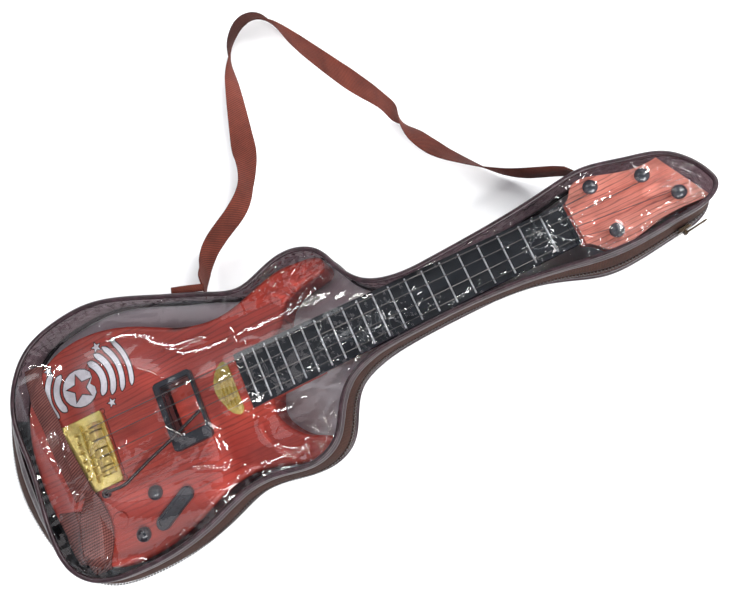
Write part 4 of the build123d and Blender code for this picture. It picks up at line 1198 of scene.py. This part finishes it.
def edge_ribbon(left, right, base, lift):
    """A strip of webbing between two edge lines, laid on what is under it."""
    left_line = even_line(np.array([(x, y, 0) for x, y in left]) * MM, 0.002)[0]
    count = len(left_line)
    right_points = np.array([(x, y, 0) for x, y in right]) * MM
    steps = np.linspace(0, lengths_along(right_points)[-1], count)
    right_line = points_at(right_points, steps)
    smooth_line(left_line, 14)
    smooth_line(right_line, 14)
    shares = np.linspace(0, 1, 13)
    rows, uvs = [], []
    for i in range(count):
        for share in shares:
            spot = left_line[i] * (1 - share) + right_line[i] * share
            under = height_at(base, spot[0], spot[1])
            if under is None:
                under = BESIDE_BODY_Z
            wave = 0.5 * MM * ripple(spot[0] * 60, spot[1] * 60, 61)
            rows.append((spot[0], spot[1], under + lift + wave))
            uvs.append((steps[i], (share - 0.5) * INNER_STRAP_WIDTH))
    points = np.array(rows).reshape(count, len(shares), 3)
    smooth_line(points[:, :, 2], 6)
    return points.reshape(-1, 3), lattice(count, len(shares)), uvs


INNER_STRAP_RUNS = [
    # left edge, right edge and height over what is under it
    ([(-507, -36), (-510, -52), (-510, -68), (-506, -84)],
     [(-488, -42), (-489, -56), (-490, -68), (-492, -90)], 1.2),
    ([(-472, -28), (-486, -42), (-493, -58), (-498, -74), (-499, -88), (-494, -98)],
     [(-467, -33), (-465, -44), (-462, -58), (-463, -72), (-468, -84), (-478, -99)], 3.2),
    ([(-500, 99), (-503, 84), (-500, 66), (-497, 44), (-495, 26), (-494, 10), (-491, -12), (-488, -34)],
     [(-481, 97), (-484, 80), (-483, 62), (-480, 44), (-478, 26), (-475, 6), (-471, -14), (-468, -33)], 3.0),
]


def make_inner_strap():
    """The guitar's own strap, folded into the bag's left end under the film."""
    base = surface_tree(["body_front_shell", "bridge_plate"])
    points, faces, uvs = [], [], []
    for left, right, lift in INNER_STRAP_RUNS:
        more_points, more_faces, more_uvs = edge_ribbon(left, right, base, lift * MM)
        start = len(points)
        points += more_points.tolist()
        faces += [tuple(start + k for k in face) for face in more_faces]
        uvs += more_uvs
    strap = piece_of(
        "guitar_strap_webbing", points, faces, MATERIALS["inner_webbing"], uvs
    )
    tree = BVHTree.FromPolygons([Vector(p) for p in points], faces)
    thicken = strap.modifiers.new("thickness", "SOLIDIFY")
    thicken.thickness = 0.9 * MM
    thicken.offset = -1
    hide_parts("guitar_strap")
    return tree


# ---- small things on the guitar's face ----
FACE_Z = 40.0 * MM


def flat_shape(name, outlines, low, high, material):
    """Thin raised print: each outline becomes a closed plate."""
    edit = bmesh.new()
    for outline in outlines:
        bottom = [edit.verts.new((x, y, low)) for x, y in outline]
        face = edit.faces.new(bottom)
        raised = bmesh.ops.extrude_face_region(edit, geom=[face])
        for item in raised["geom"]:
            if isinstance(item, bmesh.types.BMVert):
                item.co.z = high
    bmesh.ops.recalc_face_normals(edit, faces=edit.faces)
    bmesh.ops.triangulate(edit, faces=[f for f in edit.faces if len(f.verts) > 4])
    mesh = bpy.data.meshes.new(name)
    edit.to_mesh(mesh)
    edit.free()
    return place_piece(name, mesh, material)


def star_outline(x, y, reach, inner, turn):
    """A five-pointed star."""
    points = []
    for k in range(10):
        radius = reach if k % 2 == 0 else inner
        angle = turn + math.pi * k / 5
        points.append((x + radius * math.cos(angle), y + radius * math.sin(angle)))
    return points


def ring_outline(x, y, reach, start, end, thick):
    """A curved bar with rounded ends: part of a circle round a point."""
    outer, inner = [], []
    for t in np.arange(21) / 20:
        angle = start + (end - start) * t
        half = thick / 2 * min(1.0, 3.2 * math.sqrt(max(t * (1 - t), 0.004)))
        outer.append((x + (reach + half) * math.cos(angle), y + (reach + half) * math.sin(angle)))
        inner.append((x + (reach - half) * math.cos(angle), y + (reach - half) * math.sin(angle)))
    return outer + inner[::-1]


BADGE_PLACE = (-0.4520, 0.0600)
BADGE_REACH = 0.0085
INK_EDGE = 0.0010
# Rings of sound: reach, half their spread and the bearings of their middles, in metres and radians.
SOUND_RINGS = [
    (0.0235, 0.80, (0.10, math.pi - 0.15)), (0.0325, 0.69, (0.10, math.pi - 0.15)),
    (0.0415, 0.58, (0.10,)), (0.0505, 0.47, (0.10,)),
]
SMALL_STARS = [
    (-0.425, 0.0885, 0.0045), (-0.408, 0.0870, 0.0034), (-0.476, 0.0880, 0.0040), (-0.428, 0.0350, 0.0040),
]


def make_decal():
    """A made-up graphic: a round star badge with rings of sound that spread from it."""
    whole = (0.0, math.tau * 0.999)
    dark = [ring_outline(*BADGE_PLACE, BADGE_REACH, *whole, 2 * BADGE_REACH + 2 * INK_EDGE)]
    white = [ring_outline(*BADGE_PLACE, BADGE_REACH, *whole, 2 * BADGE_REACH)]
    for count, (reach, spread, bearings) in enumerate(SOUND_RINGS):
        thick = 0.0058 - 0.0006 * count
        more = spread + INK_EDGE / reach
        for middle in bearings:
            dark.append(ring_outline(*BADGE_PLACE, reach, middle - more, middle + more, thick + 2 * INK_EDGE))
            white.append(ring_outline(*BADGE_PLACE, reach, middle - spread, middle + spread, thick))
    for x, y, reach in SMALL_STARS:
        wide = reach + INK_EDGE * 1.6
        dark.append(star_outline(x, y, wide, wide * 0.5, 0.4))
        white.append(star_outline(x, y, reach, reach * 0.45, 0.4))
    star_edge = [star_outline(*BADGE_PLACE, 0.0145, 0.0066, 0.35)]
    star = [star_outline(*BADGE_PLACE, 0.0122, 0.0054, 0.35)]
    layers = [
        ("decal_outline", dark, 0.12, "dark_ink"), ("decal_shapes", white, 0.20, "white_ink"),
        ("decal_star_edge", star_edge, 0.26, "dark_ink"), ("decal_star", star, 0.32, "red"),
    ]
    for name, outlines, top, ink in layers:
        low, high = FACE_Z + 0.02 * MM, FACE_Z + top * MM
        layer = flat_shape(name, outlines, low, high, MATERIALS[ink])
        if name == "decal_outline":
            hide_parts("decal")


def make_bridge_rim():
    """The thin moulded line round the front of the bridge, with its two small ears: a raised dark strip that
    paints the groove's shadow.
    """
    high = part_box("bridge_plate")[1]
    edge = high.x + 1.8 * MM
    half = high.y - 4.0 * MM
    line = [(high.x - 10 * MM, half + 5.6 * MM)]
    for k in range(9):
        angle = math.pi * (1.0 - k / 5.5)
        ear_x = edge - 1.4 * MM + 2.6 * MM * math.cos(angle)
        line.append((ear_x, half + 2.2 * MM + 2.6 * MM * math.sin(angle)))
    line.append((edge, half - 2 * MM))
    mirrored = [(x, -y) for x, y in reversed(line)]
    path = np.array([(x, y, FACE_Z + 0.1 * MM) for x, y in line + mirrored])
    path = even_line(path, 0.8 * MM)[0]
    ahead = directions(path)
    up = np.tile((0.0, 0.0, 1.0), (len(path), 1))
    side = np.cross(up, ahead)
    points, faces, uvs = tube(path, side, up, 0.45 * MM, 0.3 * MM, 8)
    piece_of("bridge_rim_line", points, faces, MATERIALS["groove"], uvs)


def make_hole_floor():
    """The red floor seen a little way down the sound hole, its red painted brighter than the body's to stand
    in for light that the recess lacks.
    """
    low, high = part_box("pickup_ring")
    x0, x1 = low.x + 6 * MM, high.x - 6 * MM
    y0, y1 = low.y + 9 * MM, high.y - 6 * MM
    outline = [(x0, y0), (x1, y0), (x1, y1), (x0, y1)]
    flat_shape("sound_hole_floor", [outline], 21 * MM, 23 * MM, MATERIALS["hole"])


def make_floor():
    size = 6.0
    steps = 9
    edge = np.linspace(-size / 2, size / 2, steps)
    points = [(x - 0.2, y, -0.0004) for y in edge for x in edge]
    mesh = bpy.data.meshes.new("floor")
    mesh.from_pydata(points, [], lattice(steps, steps))
    mesh.materials.append(floor_paper())
    floor = add_object("floor", mesh)


make_camera()
make_lights()
make_floor()
dress_kept_nodes()
make_shoulder_strap()
make_strap_tabs()
closed_pipe("piping_front", ring, FRONT_Z, "bag_piping_front")
closed_pipe("piping_back", ring + outward * back_stand[:, None], BACK_Z + 0.1 * MM, "bag_piping_back")
make_gusset()
make_zip()
make_zip_teeth()
make_back_sheet()
inner_strap_tree = make_inner_strap()
make_front_sheet([inner_strap_tree])
make_decal()
make_bridge_rim()
make_hole_floor()
